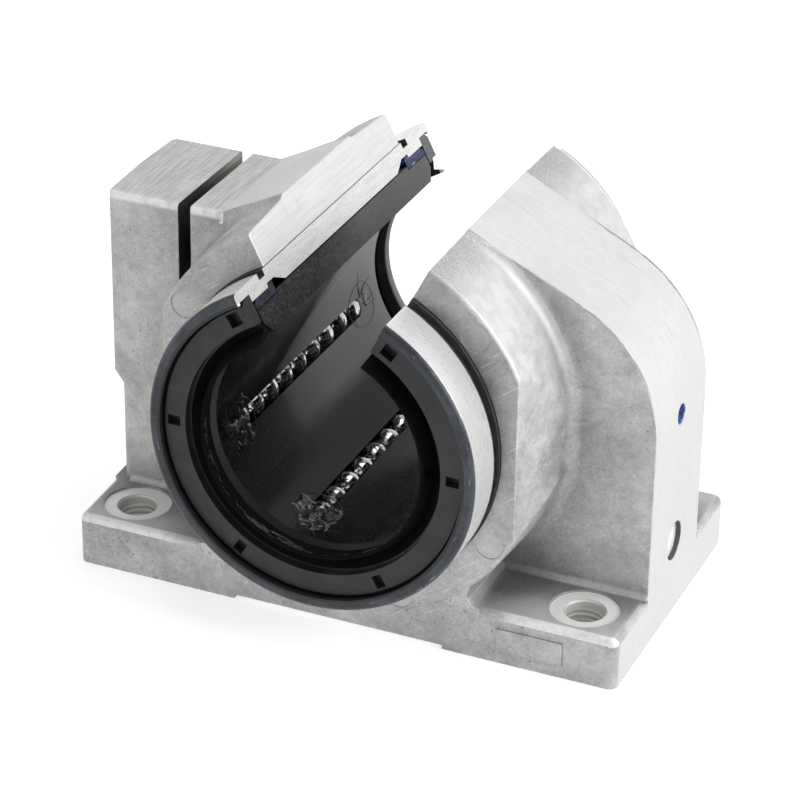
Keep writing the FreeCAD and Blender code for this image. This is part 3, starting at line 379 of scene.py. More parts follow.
def slope_skin(n, at, tex, face):
    """The clean skin of the slopes and the right side: streaks, dashes and a ragged dark edge of painted
    shade by the web's faces.
    """
    clean = n.mix(n.ramp(tex.streaks, 0.34, 0.66), (0.665, 0.668, 0.67), (0.725, 0.728, 0.73))
    dash = n.noise(700.0, 2.0, 0.6, stretch=(0.10, 1.0, 0.10), distortion=0.6)
    clean = n.mix(n.ramp(dash, 0.62, 0.72, 0.0, 0.40), clean, (0.52, 0.522, 0.525))
    clean = n.mix(n.ramp(tex.grain, 0.62, 0.76, 0.0, 0.22), clean, (0.46, 0.46, 0.455))
    uneven_y = n.add(at.far_y, n.mul(n.sub(tex.middle, 0.5), 1.6 * MM))
    edge_shade = n.mul(n.ramp(uneven_y, HALF_WEB - 0.95 * MM, HALF_WEB - 0.25 * MM),
                 n.ramp(at.z, 86.0 * MM, 80.0 * MM), n.ramp(at.z, 56.0 * MM, 66.0 * MM))
    clean = n.mix(n.mul(edge_shade, 0.8), clean, (0.14, 0.14, 0.135))
    clean = n.mix(n.ramp(tex.clouds, 0.45, 0.65, 0.0, 0.30), clean, (0.58, 0.58, 0.575))
    darker_down = n.mul(face.right, n.ramp(at.z, 80.0 * MM, 46.0 * MM, 0.0, 0.58))
    return n.mix(darker_down, clean, (0.50, 0.50, 0.505))


def machined_skin(n, at, tex, face, holes):
    """Bright, with fine lines along Y and a few stray scratches. The jaw's top is duller and hatched."""
    bright = n.mix(n.ramp(tex.lines, 0.35, 0.65), (0.77, 0.77, 0.765), (0.86, 0.86, 0.855))
    stray = n.ramp(n.noise(500.0, 2.0, 0.5, stretch=(0.25, 1.0, 0.4), distortion=0.3), 0.63, 0.70)
    bright = n.mix(n.mul(stray, 0.2), bright, (0.56, 0.56, 0.555))
    across = n.noise(3000.0, 2.0, 0.6, stretch=(0.05, 1.0, 1.0))
    hatch = n.add(n.mul(tex.fine, 0.65), n.mul(across, 0.35))
    dull = n.mix(n.ramp(hatch, 0.36, 0.64), (0.48, 0.48, 0.475), (0.74, 0.74, 0.73))
    # painted highlight along the front edge of the jaw's top
    jaw_edge_highlight = n.ramp(at.y, -HALF_WEB + 1.8 * MM, -HALF_WEB + 0.6 * MM, 0.0, 0.55)
    dull = n.mix(jaw_edge_highlight, dull, (0.88, 0.88, 0.875))
    bright = n.mix(face.jaw, bright, dull)
    turned = n.mix(n.ramp(holes.rings, -1.0, 1.0), (0.86, 0.86, 0.85), (0.92, 0.92, 0.915))
    return n.mix(face.spot, bright, turned)


def saw_slot(n, at, tex):
    """The mask and the colour of the saw slot's walls: painted shade inside, with some painted light high at
    the rear.
    """
    mask = n.mul(n.near(at.x, SLOT_X, 1.7 * MM), n.below(at.nz, 0.9), n.above(n.size(at.nx), 0.9))
    light = n.mul(n.ramp(at.y, -6.0 * MM, 13.0 * MM), n.ramp(at.z, 72.0 * MM, 83.0 * MM),
                  n.ramp(tex.fine, 0.35, 0.65, 0.4, 1.0))
    return mask, n.mix(light, 0.02, (0.44, 0.42, 0.38))


def right_side_holes(n, at, tex, color):
    """Blue locking compound smeared round the locating screw, and the shallow round recess below it, whose
    wall is painted dark as shade.
    """
    uneven_r = n.add(n.length(at.y, at.rel_z), n.mul(n.sub(tex.middle, 0.5), 2.6 * MM))
    smear = n.mul(n.ramp(uneven_r, 2.25 * MM, 2.75 * MM, 1.0, 0.0), n.above(at.x, 55.0 * MM), 0.8)
    color = n.mix(smear, color, n.mix(n.ramp(tex.grain, 0.4, 0.6), (0.02, 0.07, 0.34), (0.16, 0.34, 0.80)))
    recess = n.mul(n.below(n.length(at.y, n.sub(at.z, RECESS_Z)), 4.7 * MM),
                   n.above(at.x, SIDE_X - 3.0 * MM), n.below(at.x, SIDE_X - 0.05 * MM))
    color = n.mix(recess, color, (0.90, 0.90, 0.895))
    # painted shade on the recess's wall
    return n.mix(n.mul(recess, n.below(at.nx, 0.7)), color, 0.09)


def housing_relief(n, tex, face, holes):
    """The height of the fine relief: cast grain, streaks, cutter lines and threads."""
    height = n.add(n.mul(tex.middle, 0.45), n.mul(tex.grain, 0.35), n.mul(tex.speck, 0.15))
    height = n.sub(height, n.mul(tex.pores, 0.35))
    height = n.blend(n.mul(n.most(face.lit_flank, face.foot), 0.75), height, 0.5)
    height = n.blend(face.slope, height, n.mul(tex.streaks, 0.10))
    lines = n.add(n.mul(tex.lines, 0.06), n.mul(tex.fine, 0.04), n.mul(holes.rings, 0.008))
    height = n.blend(face.machined, height, lines)
    return n.add(height, n.mul(holes.thread, 0.4))


def housing_material():
    """As-cast aluminium, with machined faces picked out by where they lie and where they face."""
    n = new_tree("cast_and_machined_aluminium")
    at = surface_point(n)
    tex = housing_textures(n)
    face = housing_faces(n, at, tex)
    holes = foot_holes(n, at, face)
    cast = cast_wear(n, at, tex, face, cast_marks(n, at, tex, face, cast_grain(n, at, tex)))
    color = n.mix(face.slope, cast, slope_skin(n, at, tex, face))
    color = n.mix(face.machined, color, machined_skin(n, at, tex, face, holes))
    # painted light and shade of the thread: light and dark bands a thread's pitch apart
    thread_light_and_shade = n.mix(n.ramp(holes.thread, -0.6, 0.6), (0.50, 0.49, 0.475), (0.84, 0.83, 0.815))
    color = n.mix(holes.inside, color, thread_light_and_shade)
    slot, slot_shade_and_light = saw_slot(n, at, tex)
    color = n.mix(slot, color, slot_shade_and_light)
    # painted shade: the bore's wall behind the ring is painted near black
    color = n.mix(n.below(at.radius, PAST_BORE), color, 0.05)
    color = right_side_holes(n, at, tex, color)
    rough = n.blend(face.slope, n.ramp(tex.middle, 0.3, 0.7, 0.44, 0.60), 0.5)
    rough = n.blend(face.machined, rough, n.ramp(tex.fine, 0.3, 0.7, 0.30, 0.42))
    metal = n.blend(slot, n.blend(face.spot, n.blend(face.machined, 0.45, 0.80), 0.25), 0.0)
    relief = n.bump(housing_relief(n, tex, face, holes), 0.20 * MM, 0.9, normal=tex.rounded)
    return n.surface(Base_Color=color, Metallic=metal, Roughness=rough, Normal=relief)


# ------------------------------------------------------------------ the other materials
def ring_material():
    """Ground steel, bright round the outside and on the cuts. Its ends carry a painted dark reflection, and
    it is painted near black as shade inside the housing and on its inner walls.
    """
    n = new_tree("ground_steel")
    at = surface_point(n)
    around = n.join(n.mul(at.polar, 0.004), at.y, at.radius)
    grind = n.noise(2600.0, 3.0, 0.65, at=around)
    broad = n.noise(240.0, 3.0, 0.6, at=around)
    cloud = n.noise(90.0, 3.0, 0.6)
    speck = n.noise(2400.0, 2.0, 0.6)
    steel = n.mix(n.ramp(grind, 0.3, 0.7), 0.88, 0.91)
    steel = n.mix(n.mul(n.ramp(broad, 0.5, 0.75), 0.10), steel, (0.66, 0.67, 0.68))
    nick = n.noise(1100.0, 3.0, 0.65, at=n.join(n.mul(at.polar, 0.009), at.y, at.radius))
    # painted dark reflection on the ring's ends, with nicks and specks
    dark = n.mix(n.ramp(cloud, 0.35, 0.7), (0.020, 0.024, 0.030), (0.060, 0.068, 0.082))
    dark = n.mix(n.ramp(speck, 0.66, 0.74, 0.0, 0.5), dark, (0.30, 0.32, 0.34))
    dark = n.mix(n.ramp(nick, 0.60, 0.74, 0.0, 0.55), dark, (0.26, 0.28, 0.31))
    lines = n.noise(1500.0, 3.0, 0.6, stretch=(1.0, 0.10, 1.0))
    cut_steel = n.mix(n.ramp(lines, 0.35, 0.65), (0.76, 0.76, 0.75), (0.88, 0.88, 0.87))
    cut_steel = n.mix(n.ramp(speck, 0.62, 0.76, 0.0, 0.12), cut_steel, (0.40, 0.40, 0.39))

    end = n.ramp(at.far_y, 48.75 * MM, 49.0 * MM)
    end_wall = n.mul(n.below(at.radius, 35.4 * MM), n.above(at.far_y, 47.0 * MM))
    in_housing = n.mul(n.above(at.radius, 35.6 * MM), n.below(at.far_y, 39.1 * MM))
    cut = on_cut(n, at)
    not_cut = n.sub(1.0, cut)
    color = n.mix(end, steel, dark)
    # painted shade: near black inside the housing, dark on the inner wall and black on the walls by the ends
    color = n.mix(n.mul(in_housing, n.ramp(grind, 0.3, 0.8, 0.96, 0.85)), color, (0.012, 0.012, 0.013))
    color = n.mix(n.below(at.radius, 35.5 * MM), color, (0.05, 0.052, 0.056))
    color = n.mix(end_wall, color, (0.010, 0.010, 0.012))
    color = n.mix(cut, color, cut_steel)
    metal = n.blend(n.mul(n.most(end, in_housing), not_cut), 0.70, 0.30)
    metal = n.blend(n.mul(end_wall, not_cut), metal, 0.0)
    rough = n.blend(end, n.ramp(grind, 0.3, 0.7, 0.27, 0.33), n.ramp(cloud, 0.3, 0.7, 0.26, 0.40))
    return n.surface(Base_Color=color, Metallic=metal, Roughness=n.blend(end_wall, rough, 0.6),
                     Normal=n.bump(grind, 0.0005 * MM, 0.15))


def cage_material():
    """Black moulded cage under a smeared film of dark grease."""
    n = new_tree("greased_cage")
    at = surface_point(n)
    smear = n.noise(60.0, 4.0, 0.6, stretch=(1.0, 0.35, 1.0), distortion=0.8)
    fine = n.noise(1500.0, 3.0, 0.6)
    # grease gathers at the bottom and at the front; a soft-edged band of the walls is painted lighter as a
    # reflection
    turn = n.angle(at.far_x, n.sub(AXIS_Z, at.z))
    uneven_y = n.add(at.y, n.mul(n.sub(smear, 0.5), 9.0 * MM))
    edge_y = n.ramp(turn, math.radians(82.0), math.radians(105.0), -12.0 * MM, 25.0 * MM, smooth=False)
    fading = n.ramp(n.add(turn, n.math("DIVIDE", at.y, 80.0 * MM)),
                    math.radians(120.0), math.radians(150.0), 1.0, 0.6)
    reflection_band = n.mul(n.ramp(n.sub(uneven_y, edge_y), -3.0 * MM, 3.0 * MM),
                n.ramp(turn, math.radians(40.0), math.radians(54.0)),
                n.ramp(uneven_y, -24.0 * MM, 16.0 * MM, 0.12, 1.0), fading)
    film = n.ramp(n.sub(smear, n.mul(reflection_band, 0.12)), 0.45, 0.62)
    plain = n.mix(reflection_band, (0.0085, 0.0075, 0.007), (0.25, 0.25, 0.257))
    color = n.mix(n.mul(film, n.blend(reflection_band, 0.85, 0.12)), plain, 0.003)
    # the cut faces are rough: dark with grease at the front, paler at the rear
    cut = on_cut(n, at)
    blotch = n.noise(1300.0, 4.0, 0.70, distortion=0.6)
    to_rear = n.ramp(n.add(at.y, n.mul(n.sub(smear, 0.5), 60.0 * MM)), -20.0 * MM, 26.0 * MM)
    dark_cut = n.mix(n.ramp(blotch, 0.44, 0.72), (0.005, 0.005, 0.006), (0.060, 0.060, 0.063))
    pale_cut = n.mix(n.ramp(blotch, 0.30, 0.70), (0.085, 0.085, 0.088), (0.125, 0.125, 0.130))
    color = n.mix(cut, color, n.mix(to_rear, dark_cut, pale_cut))
    rough = n.blend(film, n.ramp(fine, 0.3, 0.7, 0.26, 0.32), 0.18)
    rough = n.blend(cut, n.blend(reflection_band, rough, 0.42), 0.5)
    height = n.blend(cut, n.add(n.mul(smear, 0.5), n.mul(fine, 0.012)), n.mul(blotch, 0.35))
    return n.surface(Base_Color=color, Roughness=rough, Specular_IOR_Level=0.27,
                     Normal=n.bump(height, 0.12 * MM, 0.5))


def plate_material():
    """Dark grey satin moulding, paler where the rear ring is cut."""
    n = new_tree("end_ring_plastic")
    at = surface_point(n)
    cloud = n.noise(140.0, 4.0, 0.6)
    fine = n.noise(2600.0, 2.0, 0.6)
    scuff = n.ramp(n.noise(420.0, 3.0, 0.65, distortion=0.6), 0.64, 0.74)
    color = n.mix(n.ramp(cloud, 0.3, 0.7), (0.014, 0.0145, 0.0155), (0.032, 0.033, 0.035))
    color = n.mix(n.mul(scuff, 0.35), color, (0.08, 0.082, 0.086))
    pale = n.mix(n.ramp(fine, 0.3, 0.7), (0.075, 0.077, 0.08), (0.16, 0.163, 0.168))
    color = n.mix(n.mul(on_cut(n, at), n.above(at.y, 0.0)), color, pale)
    return n.surface(Base_Color=color, Roughness=n.ramp(cloud, 0.3, 0.7, 0.40, 0.52),
                     Specular_IOR_Level=0.36, Normal=n.bump(fine, 0.02 * MM, 0.6))


def lip_material():
    """Soft black sealing rubber, wet with grease in places. The rear lip's tip is pale."""
    n = new_tree("seal_rubber")
    cloud = n.noise(260.0, 4.0, 0.65, distortion=0.5)
    wet = n.ramp(n.noise(160.0, 3.0, 0.6, shift=(4.0, 1.0, 2.0)), 0.58, 0.68)
    color = n.mix(wet, (0.008, 0.0085, 0.0095), (0.003, 0.003, 0.0035))
    color = n.mix(n.ramp(n.split(n.coord)["Y"], 46.6 * MM, 47.6 * MM), color, 0.30)
    return n.surface(Base_Color=color, Roughness=n.blend(wet, 0.85, 0.40), Specular_IOR_Level=0.02,
                     Normal=n.bump(cloud, 0.10 * MM, 0.5))


def grease_ring_material():
    """Blue plastic, mostly hidden under black grease at the front and brighter at the rear."""
    n = new_tree("blue_plastic")
    cloud = n.noise(330.0, 2.0, 0.5, distortion=0.8)
    rear = n.ramp(n.split(n.coord)["Y"], -10.0 * MM, 10.0 * MM)
    blue = n.mix(rear, (0.014, 0.017, 0.050), (0.016, 0.030, 0.15))
    color = n.mix(n.ramp(n.add(cloud, n.mul(rear, 0.07)), 0.50, 0.60), (0.003, 0.0035, 0.008), blue)
    glint = n.mul(n.ramp(n.noise(520.0, 2.0, 0.5, stretch=(1.0, 0.5, 1.0)), 0.58, 0.66), rear)
    color = n.mix(n.mul(glint, 0.75), color, (0.22, 0.32, 0.72))
    return n.surface(Base_Color=color, Roughness=0.2, Transmission_Weight=0.1, IOR=1.49,
                     Normal=n.bump(cloud, 0.15 * MM, 0.4))


def ball_material():
    """Polished bearing steel under streaks of black grease."""
    n = new_tree("greased_ball_steel")
    streak = n.noise(430.0, 4.0, 0.60, distortion=1.4)
    more_in_front = n.ramp(n.split(n.coord)["Y"], -31.0 * MM, -16.0 * MM, 0.05, 0.0)
    film = n.ramp(n.add(streak, more_in_front), 0.50, 0.58)
    color = n.mix(film, (0.62, 0.62, 0.63), (0.010, 0.010, 0.011))
    return n.surface(Base_Color=color, Metallic=n.blend(film, 1.0, 0.0), Roughness=n.blend(film, 0.10, 0.12),
                     Normal=n.bump(streak, 0.10 * MM, 0.5))


def grease_material():
    """Black grease, wet and wrinkled, slightly green where it is thin."""
    n = new_tree("black_grease")
    wave = n.noise(300.0, 2.0, 0.5, distortion=1.0)
    thin = n.ramp(n.noise(260.0, 3.0, 0.6, shift=(2.0, 7.0, 1.0)), 0.52, 0.68)
    color = n.mix(thin, (0.006, 0.006, 0.007), (0.040, 0.046, 0.040))
    return n.surface(Base_Color=color, Roughness=n.ramp(wave, 0.3, 0.7, 0.14, 0.30), Coat_Weight=0.25,
                     Coat_Roughness=0.06, Normal=n.bump(wave, 0.12 * MM, 0.5))


def screw_material(name, dark, light, metallic, rough):
    """A coated screw, mottled between two colours."""
    n = new_tree(name)
    cloud = n.noise(500.0, 3.0, 0.6)
    return n.surface(Base_Color=n.mix(n.ramp(cloud, 0.3, 0.7), dark, light), Metallic=metallic,
                     Roughness=rough, Normal=n.bump(cloud, 0.04 * MM, 0.5))


MATERIAL_HOUSING = housing_material()
MATERIAL_CAGE = cage_material()
MATERIAL_GREASE = grease_material()
MATERIAL_BALL = ball_material()
MATERIAL_LOCATOR = screw_material("blue_coated_screw", (0.001, 0.004, 0.025), (0.006, 0.035, 0.20), 0.1, 0.3)
MATERIAL_ADJUSTER = screw_material("black_oxide_screw", (0.02, 0.02, 0.022), (0.06, 0.06, 0.065), 0.7, 0.4)
# the start of a node's name, and its material
PAINTS = {
    "housing": MATERIAL_HOUSING,
    "outer_ring": ring_material(),
    "ball_cage": MATERIAL_CAGE,
    "end_ring_": plate_material(),
    "seal_lip_": lip_material(),
    "grease_ring_": grease_ring_material(),
    "loaded_balls_": MATERIAL_BALL,
    "return_balls_": MATERIAL_BALL,
    "locating_screw": MATERIAL_LOCATOR,
    "adjusting_screw": MATERIAL_ADJUSTER,
}
for start, material in PAINTS.items():
    for node_name in NODES:
        if node_name.startswith(start):
            paint(NODES[node_name], material)


# ------------------------------------------------------------------ small pieces, sized in millimetres
# the cage's bore radius, the rows' angles and the middle of the outline round each row's end
BORE = 25.5
ROW_ANGLES = (16.0, -44.0, -104.0, -164.0, 136.0)
ROW_END = 31.5
# the front lip's edge: its place along the shaft and its radius
LIP_Y = -48.1
LIP_EDGE = 25.04


def on_ring(angle, y, radius):
    """A point at this angle in degrees about the shaft axis."""
    turn = math.radians(angle)
    return Vector((radius * math.cos(turn) * MM, y * MM, AXIS_Z + radius * math.sin(turn) * MM))


def turn_for(arc):
    """The angle in degrees of an arc on the cage's bore."""
    return math.degrees(arc / BORE)


def new_piece(name, mesh_data, material, smooth=True):
    """Turns a bmesh into an object that rides on the block."""
    mesh = bpy.data.meshes.new(name)
    mesh_data.to_mesh(mesh)
    mesh_data.free()
    mesh.materials.append(material)
    for face in mesh.polygons:
        face.use_smooth = smooth
    obj = bpy.data.objects.new(name, mesh)
    bpy.context.collection.objects.link(obj)
    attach(obj, ROOT)


def add_band(mesh, low, high):
    """Faces between two rings of as many corners."""
    count = len(low)
    for side in range(count):
        after = (side + 1) % count
        mesh.faces.new((low[side], low[after], high[after], high[side]))


def add_tube(mesh, points, widths, sides=8, closed=False):
    """A tube along points, with a half width at each point, all in metres."""
    rings = []
    count = len(points)
    for number in range(count):
        before = points[(number - 1) % count if closed else max(number - 1, 0)]
        after = points[(number + 1) % count if closed else min(number + 1, count - 1)]
        along = (after - before).normalized()
        across = along.cross(Vector((0.13, 0.31, 0.94))).normalized()
        other = along.cross(across)
        ring = []
        for side in range(sides):
            turn = 2 * math.pi * side / sides
            ring.append(mesh.verts.new(points[number] + widths[number] * (
                across * math.cos(turn) + other * math.sin(turn))))
        rings.append(ring)
    for low, high in zip(rings, rings[1:]):
        add_band(mesh, low, high)
    if closed:
        add_band(mesh, rings[-1], rings[0])
    else:
        mesh.faces.new(list(reversed(rings[0])))
        mesh.faces.new(rings[-1])


def grease_patch(name, angle, y, reach_around, reach_along, seed, most=0.45, ragged_by=1.0):
    """A soft-edged dollop on the bore with a few wrinkles."""
    mesh = bmesh.new()
    steps = 64
    span = 1.3
    grid = {}
    for i in range(steps + 1):
        for j in range(steps + 1):
            u = 2 * span * i / steps - span
            v = 2 * span * j / steps - span
            spot = Vector((u * reach_around * 0.28 + seed * 3.7, v * reach_along * 0.28 - seed * 1.9,
                           seed * 0.77))
            ragged = noise.fractal(spot * 1.3, 1.0, 2.0, 2)
            edge = 1.0 - math.sqrt(u * u + v * v) + 0.6 * ragged_by * ragged
            if edge < -0.04:
                continue
            dome = min(1.0, max(0.0, edge) * 2.2)
            dome = dome * dome * (3.0 - 2.0 * dome)
            swell = 0.55 + 0.45 * noise.noise(spot * 1.8 + Vector((3.0, 8.0, 1.0)))
            wrinkle = max(0.0, 1.0 - 5.0 * abs(noise.noise(spot * 1.5 + Vector((5.0, 1.0, 2.0)))))
            height = most * dome * (0.75 * swell + 0.16 * ragged_by * wrinkle) - 0.04 * (edge < 0.0)
            place = on_ring(angle + turn_for(u * reach_around), y + v * reach_along, BORE - height)
            grid[i, j] = mesh.verts.new(place)
    for i in range(steps):
        for j in range(steps):
            corners = [grid.get(key) for key in ((i, j), (i + 1, j), (i + 1, j + 1), (i, j + 1))]
            if all(corners):
                mesh.faces.new(corners)
    loose = [corner_shade for corner_shade in mesh.verts if not corner_shade.link_faces]
    bmesh.ops.delete(mesh, geom=loose, context="VERTS")
    bmesh.ops.recalc_face_normals(mesh, faces=mesh.faces)
    new_piece(name, mesh, MATERIAL_GREASE)


def lip_point(angle, s):
    """A point on the front lip's edge: s below 0 runs inward, above 0 out over its front."""
    lift = 0.04
    if s < 0:
        return on_ring(angle, LIP_Y - 3.0 * s, LIP_EDGE - 0.6 * s - lift)
    return on_ring(angle, LIP_Y + 1.1 * s - lift, LIP_EDGE + 1.4 * s - lift)


def lip_strands(name, first, last, count, seed):
    """Wrinkled grease along the front lip: many fine wavy strands."""
    mesh = bmesh.new()
    dice = random.Random(seed)
    for _ in range(count):
        angle = dice.uniform(first, last)
        middle = 1.0 - abs(2.0 * (angle - first) / (last - first) - 1.0)
        reach = dice.uniform(3.0, 9.0)
        s = dice.uniform(-0.9, 0.55) * (0.35 + 0.65 * middle)
        drift = dice.uniform(-0.5, 0.5)
        phase = dice.uniform(0.0, 20.0)
        thick = dice.uniform(0.05, 0.13)
        points = []
        widths = []
        for step in range(14):
            t = step / 13.0
            wave = 0.16 * noise.noise(Vector((phase + 3.0 * t, seed, 0.0)))
            here = max(-1.0, min(0.9, s + drift * (t - 0.5) * 0.5 + wave))
            points.append(lip_point(angle + reach * (t - 0.5), here))
            widths.append((thick * math.sin(math.pi * (0.08 + 0.84 * t)) + 0.015) * MM)
        add_tube(mesh, points, widths, sides=6)
    new_piece(name, mesh, MATERIAL_GREASE)


def grease_strings(name, angle, y, count, seed, toward=None):
    """Fine threads of grease pulled out from a row's end, more of them toward a given heading."""
    mesh = bmesh.new()
    dice = random.Random(seed)
    for _ in range(count):
        heading = dice.uniform(0.0, 2.0 * math.pi)
        reach = dice.uniform(3.0, 6.5)
        if toward is not None and dice.random() < 0.6:
            heading = toward + dice.uniform(-0.5, 0.5)
            reach = dice.uniform(4.0, 7.5)
        start = dice.uniform(0.8, 2.0)
        curl = dice.uniform(-0.9, 0.9)
        points = []
        widths = []
        for step in range(10):
            t = step / 9.0
            along = start + reach * t
            around = along * math.cos(heading + curl * t)
            ahead = along * math.sin(heading + curl * t)
            points.append(on_ring(angle + turn_for(around), y + ahead, BORE - 0.10 * (1 - t)))
            widths.append((0.16 * (1.0 - t) + 0.03) * MM)
        add_tube(mesh, points, widths, sides=6)
    new_piece(name, mesh, MATERIAL_GREASE)


def row_outline(name, angle, y):
    """The moulded oval outline round the end of a row."""
    half_around, half_along, half_width, steps = 5.2, 6.2, 0.11, 72
    mesh = bmesh.new()
    points = []
    for step in range(steps):
        turn = 2 * math.pi * step / steps
        wobble = 1.0 + 0.03 * math.sin(3 * turn + angle)
        around = half_around * wobble * math.sin(turn)
        points.append(on_ring(angle + turn_for(around), y + half_along * math.cos(turn), BORE))
    add_tube(mesh, points, [half_width * MM] * steps, closed=True)
    new_piece(name, mesh, MATERIAL_GREASE)


def row_lip(name, angle):
    """The thin lip that closes a row's slot in round its balls."""
    mesh = bmesh.new()
    last_ball, slot_end, half_slot, hole = 29.2, 33.30, 3.05, 2.15
    inner, outer = BORE - 0.02, BORE + 0.06
    spots = []
    for end in (1.0, -1.0):
        for step in range(25):
            turn = math.pi * step / 24 + (0.0 if end > 0 else math.pi)
            across, along = math.cos(turn), math.sin(turn)
            reach = min(half_slot / max(abs(across), 1e-6), (slot_end - last_ball) / max(abs(along), 1e-6))
            spots.append(((hole * across, end * last_ball + hole * along),
                          (reach * across, end * last_ball + reach * along)))
        side = -1.0 if end > 0 else 1.0
        for step in range(1, 20):
            y = end * last_ball * (1.0 - step / 10.0)
            spots.append(((side * hole, y), (side * half_slot, y)))
    rings = []
    for near_spot, far_spot in spots:
        rings.append([mesh.verts.new(on_ring(angle + turn_for(around), y, radius))
                      for (around, y), radius in ((near_spot, inner), (far_spot, inner),
                                                  (far_spot, outer), (near_spot, outer))])
    for low, high in zip(rings, rings[1:] + rings[:1]):
        add_band(mesh, low, high)
    bmesh.ops.recalc_face_normals(mesh, faces=mesh.faces)
    new_piece(name, mesh, MATERIAL_CAGE, smooth=False)


def thread_piece(name, x, y):
    """The crest of the thread low in the foot's hole at x, y in metres."""
    mesh = bmesh.new()
    turns, steps, first_z, rise = 6, 40, 0.6 * MM, 0.06
    wall = bolts["dims"]["hole_r_mm"]
    root = wall + 0.03
    rings = []
    for step in range(turns * steps + 1):
        turn = 2 * math.pi * step / steps
        z = first_z + THREAD_PITCH * step / steps
        fade = min(1.0, step / 20.0, (turns * steps - step) / 20.0)
        crest = wall - rise * fade
        rings.append([mesh.verts.new((x + radius * math.cos(turn) * MM, y + radius * math.sin(turn) * MM,
                                      z + lift * MM))
                      for radius, lift in ((root, -0.42), (crest, -0.08), (crest, 0.08), (root, 0.42))])
    for low, high in zip(rings, rings[1:]):
        add_band(mesh, low, high)
    mesh.faces.new(rings[0])
    mesh.faces.new(list(reversed(rings[-1])))
    bmesh.ops.recalc_face_normals(mesh, faces=mesh.faces)
    new_piece(name, mesh, MATERIAL_HOUSING)


def flash_line(name, points):
    """A fine raised casting line on the housing."""
    mesh = bmesh.new()
    half_width, steps = 0.09 * MM, 6
    spots = []
    for first, last in zip(points, points[1:]):
        for step in range(steps):
            t = step / steps
            spots.append((Vector(first) * (1 - t) + Vector(last) * t) * MM)
    spots.append(Vector(points[-1]) * MM)
    widths = [half_width * (0.8 + 0.5 * noise.noise(spot * 900.0)) for spot in spots]
    add_tube(mesh, spots, widths, sides=6)
    new_piece(name, mesh, MATERIAL_HOUSING)


# a patch of grease: how far round and along the row's line it lies, and its reach each way
FRONT_PATCHES = ((3.2, -32.5, 2.4, 5.0), (-3.6, -31.5, 2.0, 4.0), (0.2, -37.0, 2.8, 2.2))
FRONT_BLOBS = ((0.2, -34.6, 1.9, 2.1), (0.4, -31.2, 1.8, 2.0))

for number, (side, end) in enumerate(((-1, -1), (1, -1), (-1, 1), (1, 1)), start=1):
    thread_piece("foot_thread_%d" % number, HOLE_X * side, HOLE_Y * end)
for number, angle in enumerate(ROW_ANGLES, start=1):
    row_lip("row_lip_%d" % number, angle)
    row_outline("row_outline_rear_%d" % number, angle, ROW_END)
    row_outline("row_outline_front_%d" % number, angle, -ROW_END)
    for part, (around, y, wide, long) in enumerate(FRONT_PATCHES, start=1):
        grease_patch("grease_front_%d_%d" % (number, part), angle + turn_for(around), y, wide, long,
                     seed=number * 1.3 + part * 0.61)
    for part, (around, y, wide, long) in enumerate(FRONT_BLOBS, start=1):
        grease_patch("grease_blob_%d_%d" % (number, part), angle + turn_for(around), y, wide, long,
                     seed=number * 0.9 + part * 0.37 + 30, most=0.75, ragged_by=0.35)
    grease_patch("grease_rear_%d" % number, angle, 34.2, 1.9, 1.2, seed=number * 2.9 + 11, most=0.3)
    grease_strings("grease_strings_front_%d" % number, angle, -34.0, 16, number, toward=-math.pi / 2)
    grease_strings("grease_strings_rear_%d" % number, angle, 32.0, 5, number + 20)
lip_strands("lip_grease_low", -126.0, -92.0, 70, 7)
lip_strands("lip_grease_left", -186.0, -128.0, 26, 8)
lip_strands("lip_grease_right", -88.0, -30.0, 16, 9)

# casting flash over the boss's concave root
for number, z in enumerate((52.0, 60.0), start=1):
    flash_line("flash_root_%d" % number, [(46.4, -17.6, z), (47.2, -16.7, z + 0.2), (49.2, -16.02, z + 0.5),
                                          (52.5, -16.0, z + 0.2)])


# ------------------------------------------------------------------ stage, light and camera
def make_floor():
    """A white floor that also glows to the camera and in reflections."""
    bpy.ops.mesh.primitive_plane_add(size=6.0, location=(0, 0, -0.15 * MM))
    floor = bpy.context.object
    floor.name = "floor"
    n = new_tree("floor_white")
    path = n.make("LightPath").outputs
    seen = n.most(path["Is Camera Ray"], path["Is Glossy Ray"], path["Is Transmission Ray"])
    diffuse = n.make("BsdfDiffuse", Color=0.86)
    glow = n.make("Emission", Color=1.0, Strength=n.mul(seen, 0.50))
    paint(floor, n.finish(n.make("AddShader", diffuse.outputs[0], glow.outputs[0])))


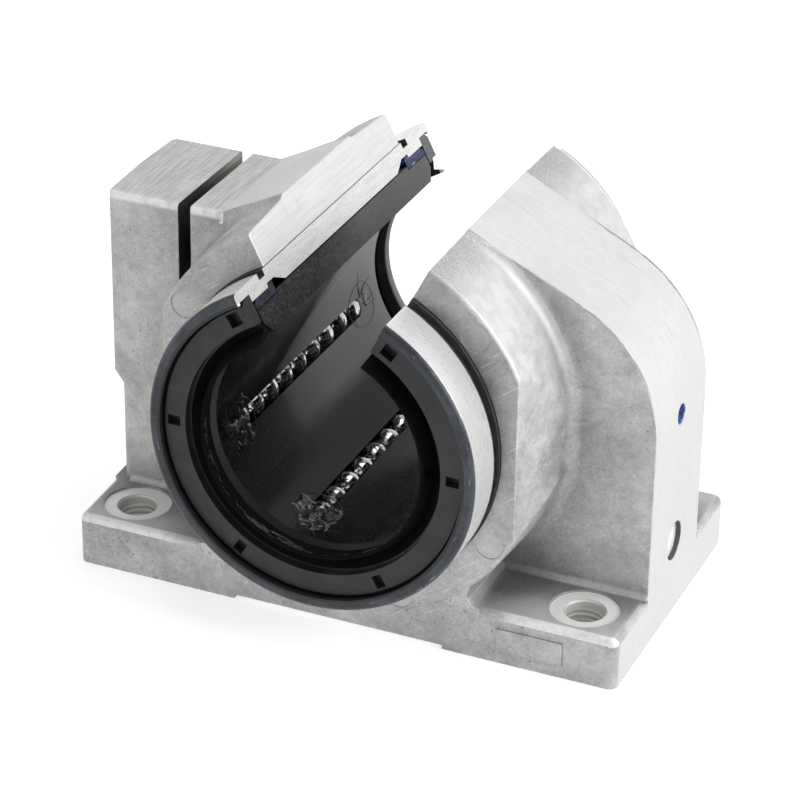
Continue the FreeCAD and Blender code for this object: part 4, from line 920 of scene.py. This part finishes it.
def make_world():
    """White to the camera. Reflections see white near the horizon and grey overhead."""
    world = bpy.data.worlds.new("studio")
    bpy.context.scene.world = world
    n = Nodes(world, "OutputWorld")
    path = n.make("LightPath").outputs
    height = n.split(n.coords["Generated"])["Z"]
    ambient = n.make("Background", Color=1.0, Strength=0.42)
    room = n.make("Background", Color=n.ramp(height, 0.05, 0.75, 1.0, 0.55, smooth=False))
    white = n.make("Background", Color=1.0)
    shiny = n.most(path["Is Glossy Ray"], path["Is Transmission Ray"])
    lit = n.make("MixShader", shiny, ambient.outputs[0], room.outputs[0])
    n.finish(n.make("MixShader", path["Is Camera Ray"], lit.outputs[0], white.outputs[0]))


def area_light(name, place, size, power):
    """A square light that aims at the shaft axis's middle."""
    light = bpy.data.lights.new(name, "AREA")
    light.energy = power
    light.size = size
    obj = bpy.data.objects.new(name, light)
    bpy.context.collection.objects.link(obj)
    obj.location = place
    aim = Vector((0.0, 0.0, AXIS_Z)) - Vector(place)
    obj.rotation_euler = aim.to_track_quat("-Z", "Y").to_euler()


def make_camera():
    """The photograph's viewing angle: turn, tilt and roll about a point above the base."""
    turn, tilt, roll = math.radians(23.26), math.radians(28.125), math.radians(0.818)
    aim = Vector((0.0, 0.0, 45.0 * MM))
    shift_right, shift_up, distance = -0.704 * MM, -5.615 * MM, 736.84 * MM
    back = Vector((math.sin(turn) * math.cos(tilt), -math.cos(turn) * math.cos(tilt), math.sin(tilt)))
    right = Vector((math.cos(turn), math.sin(turn), 0.0))
    up = back.cross(right)
    right, up = (right * math.cos(roll) + up * math.sin(roll),
                 up * math.cos(roll) - right * math.sin(roll))
    data = bpy.data.cameras.new("camera")
    data.sensor_width = 36.0
    data.lens = 149.546
    data.clip_start = 0.01
    data.clip_end = 20.0
    camera = bpy.data.objects.new("camera", data)
    bpy.context.collection.objects.link(camera)
    matrix = Matrix((right, up, back)).transposed().to_4x4()
    matrix.translation = aim + right * shift_right + up * shift_up + back * distance
    camera.matrix_world = matrix
    bpy.context.scene.camera = camera


make_floor()
make_world()
area_light("key_right", (0.66, 0.02, 0.36), 0.5, 3.5)
area_light("top", (0.12, 0.12, 0.75), 0.6, 2.0)
area_light("front_left", (-0.45, -0.62, 0.35), 0.5, 0.7)
make_camera()
bpy.context.scene.view_settings.view_transform = "Standard"
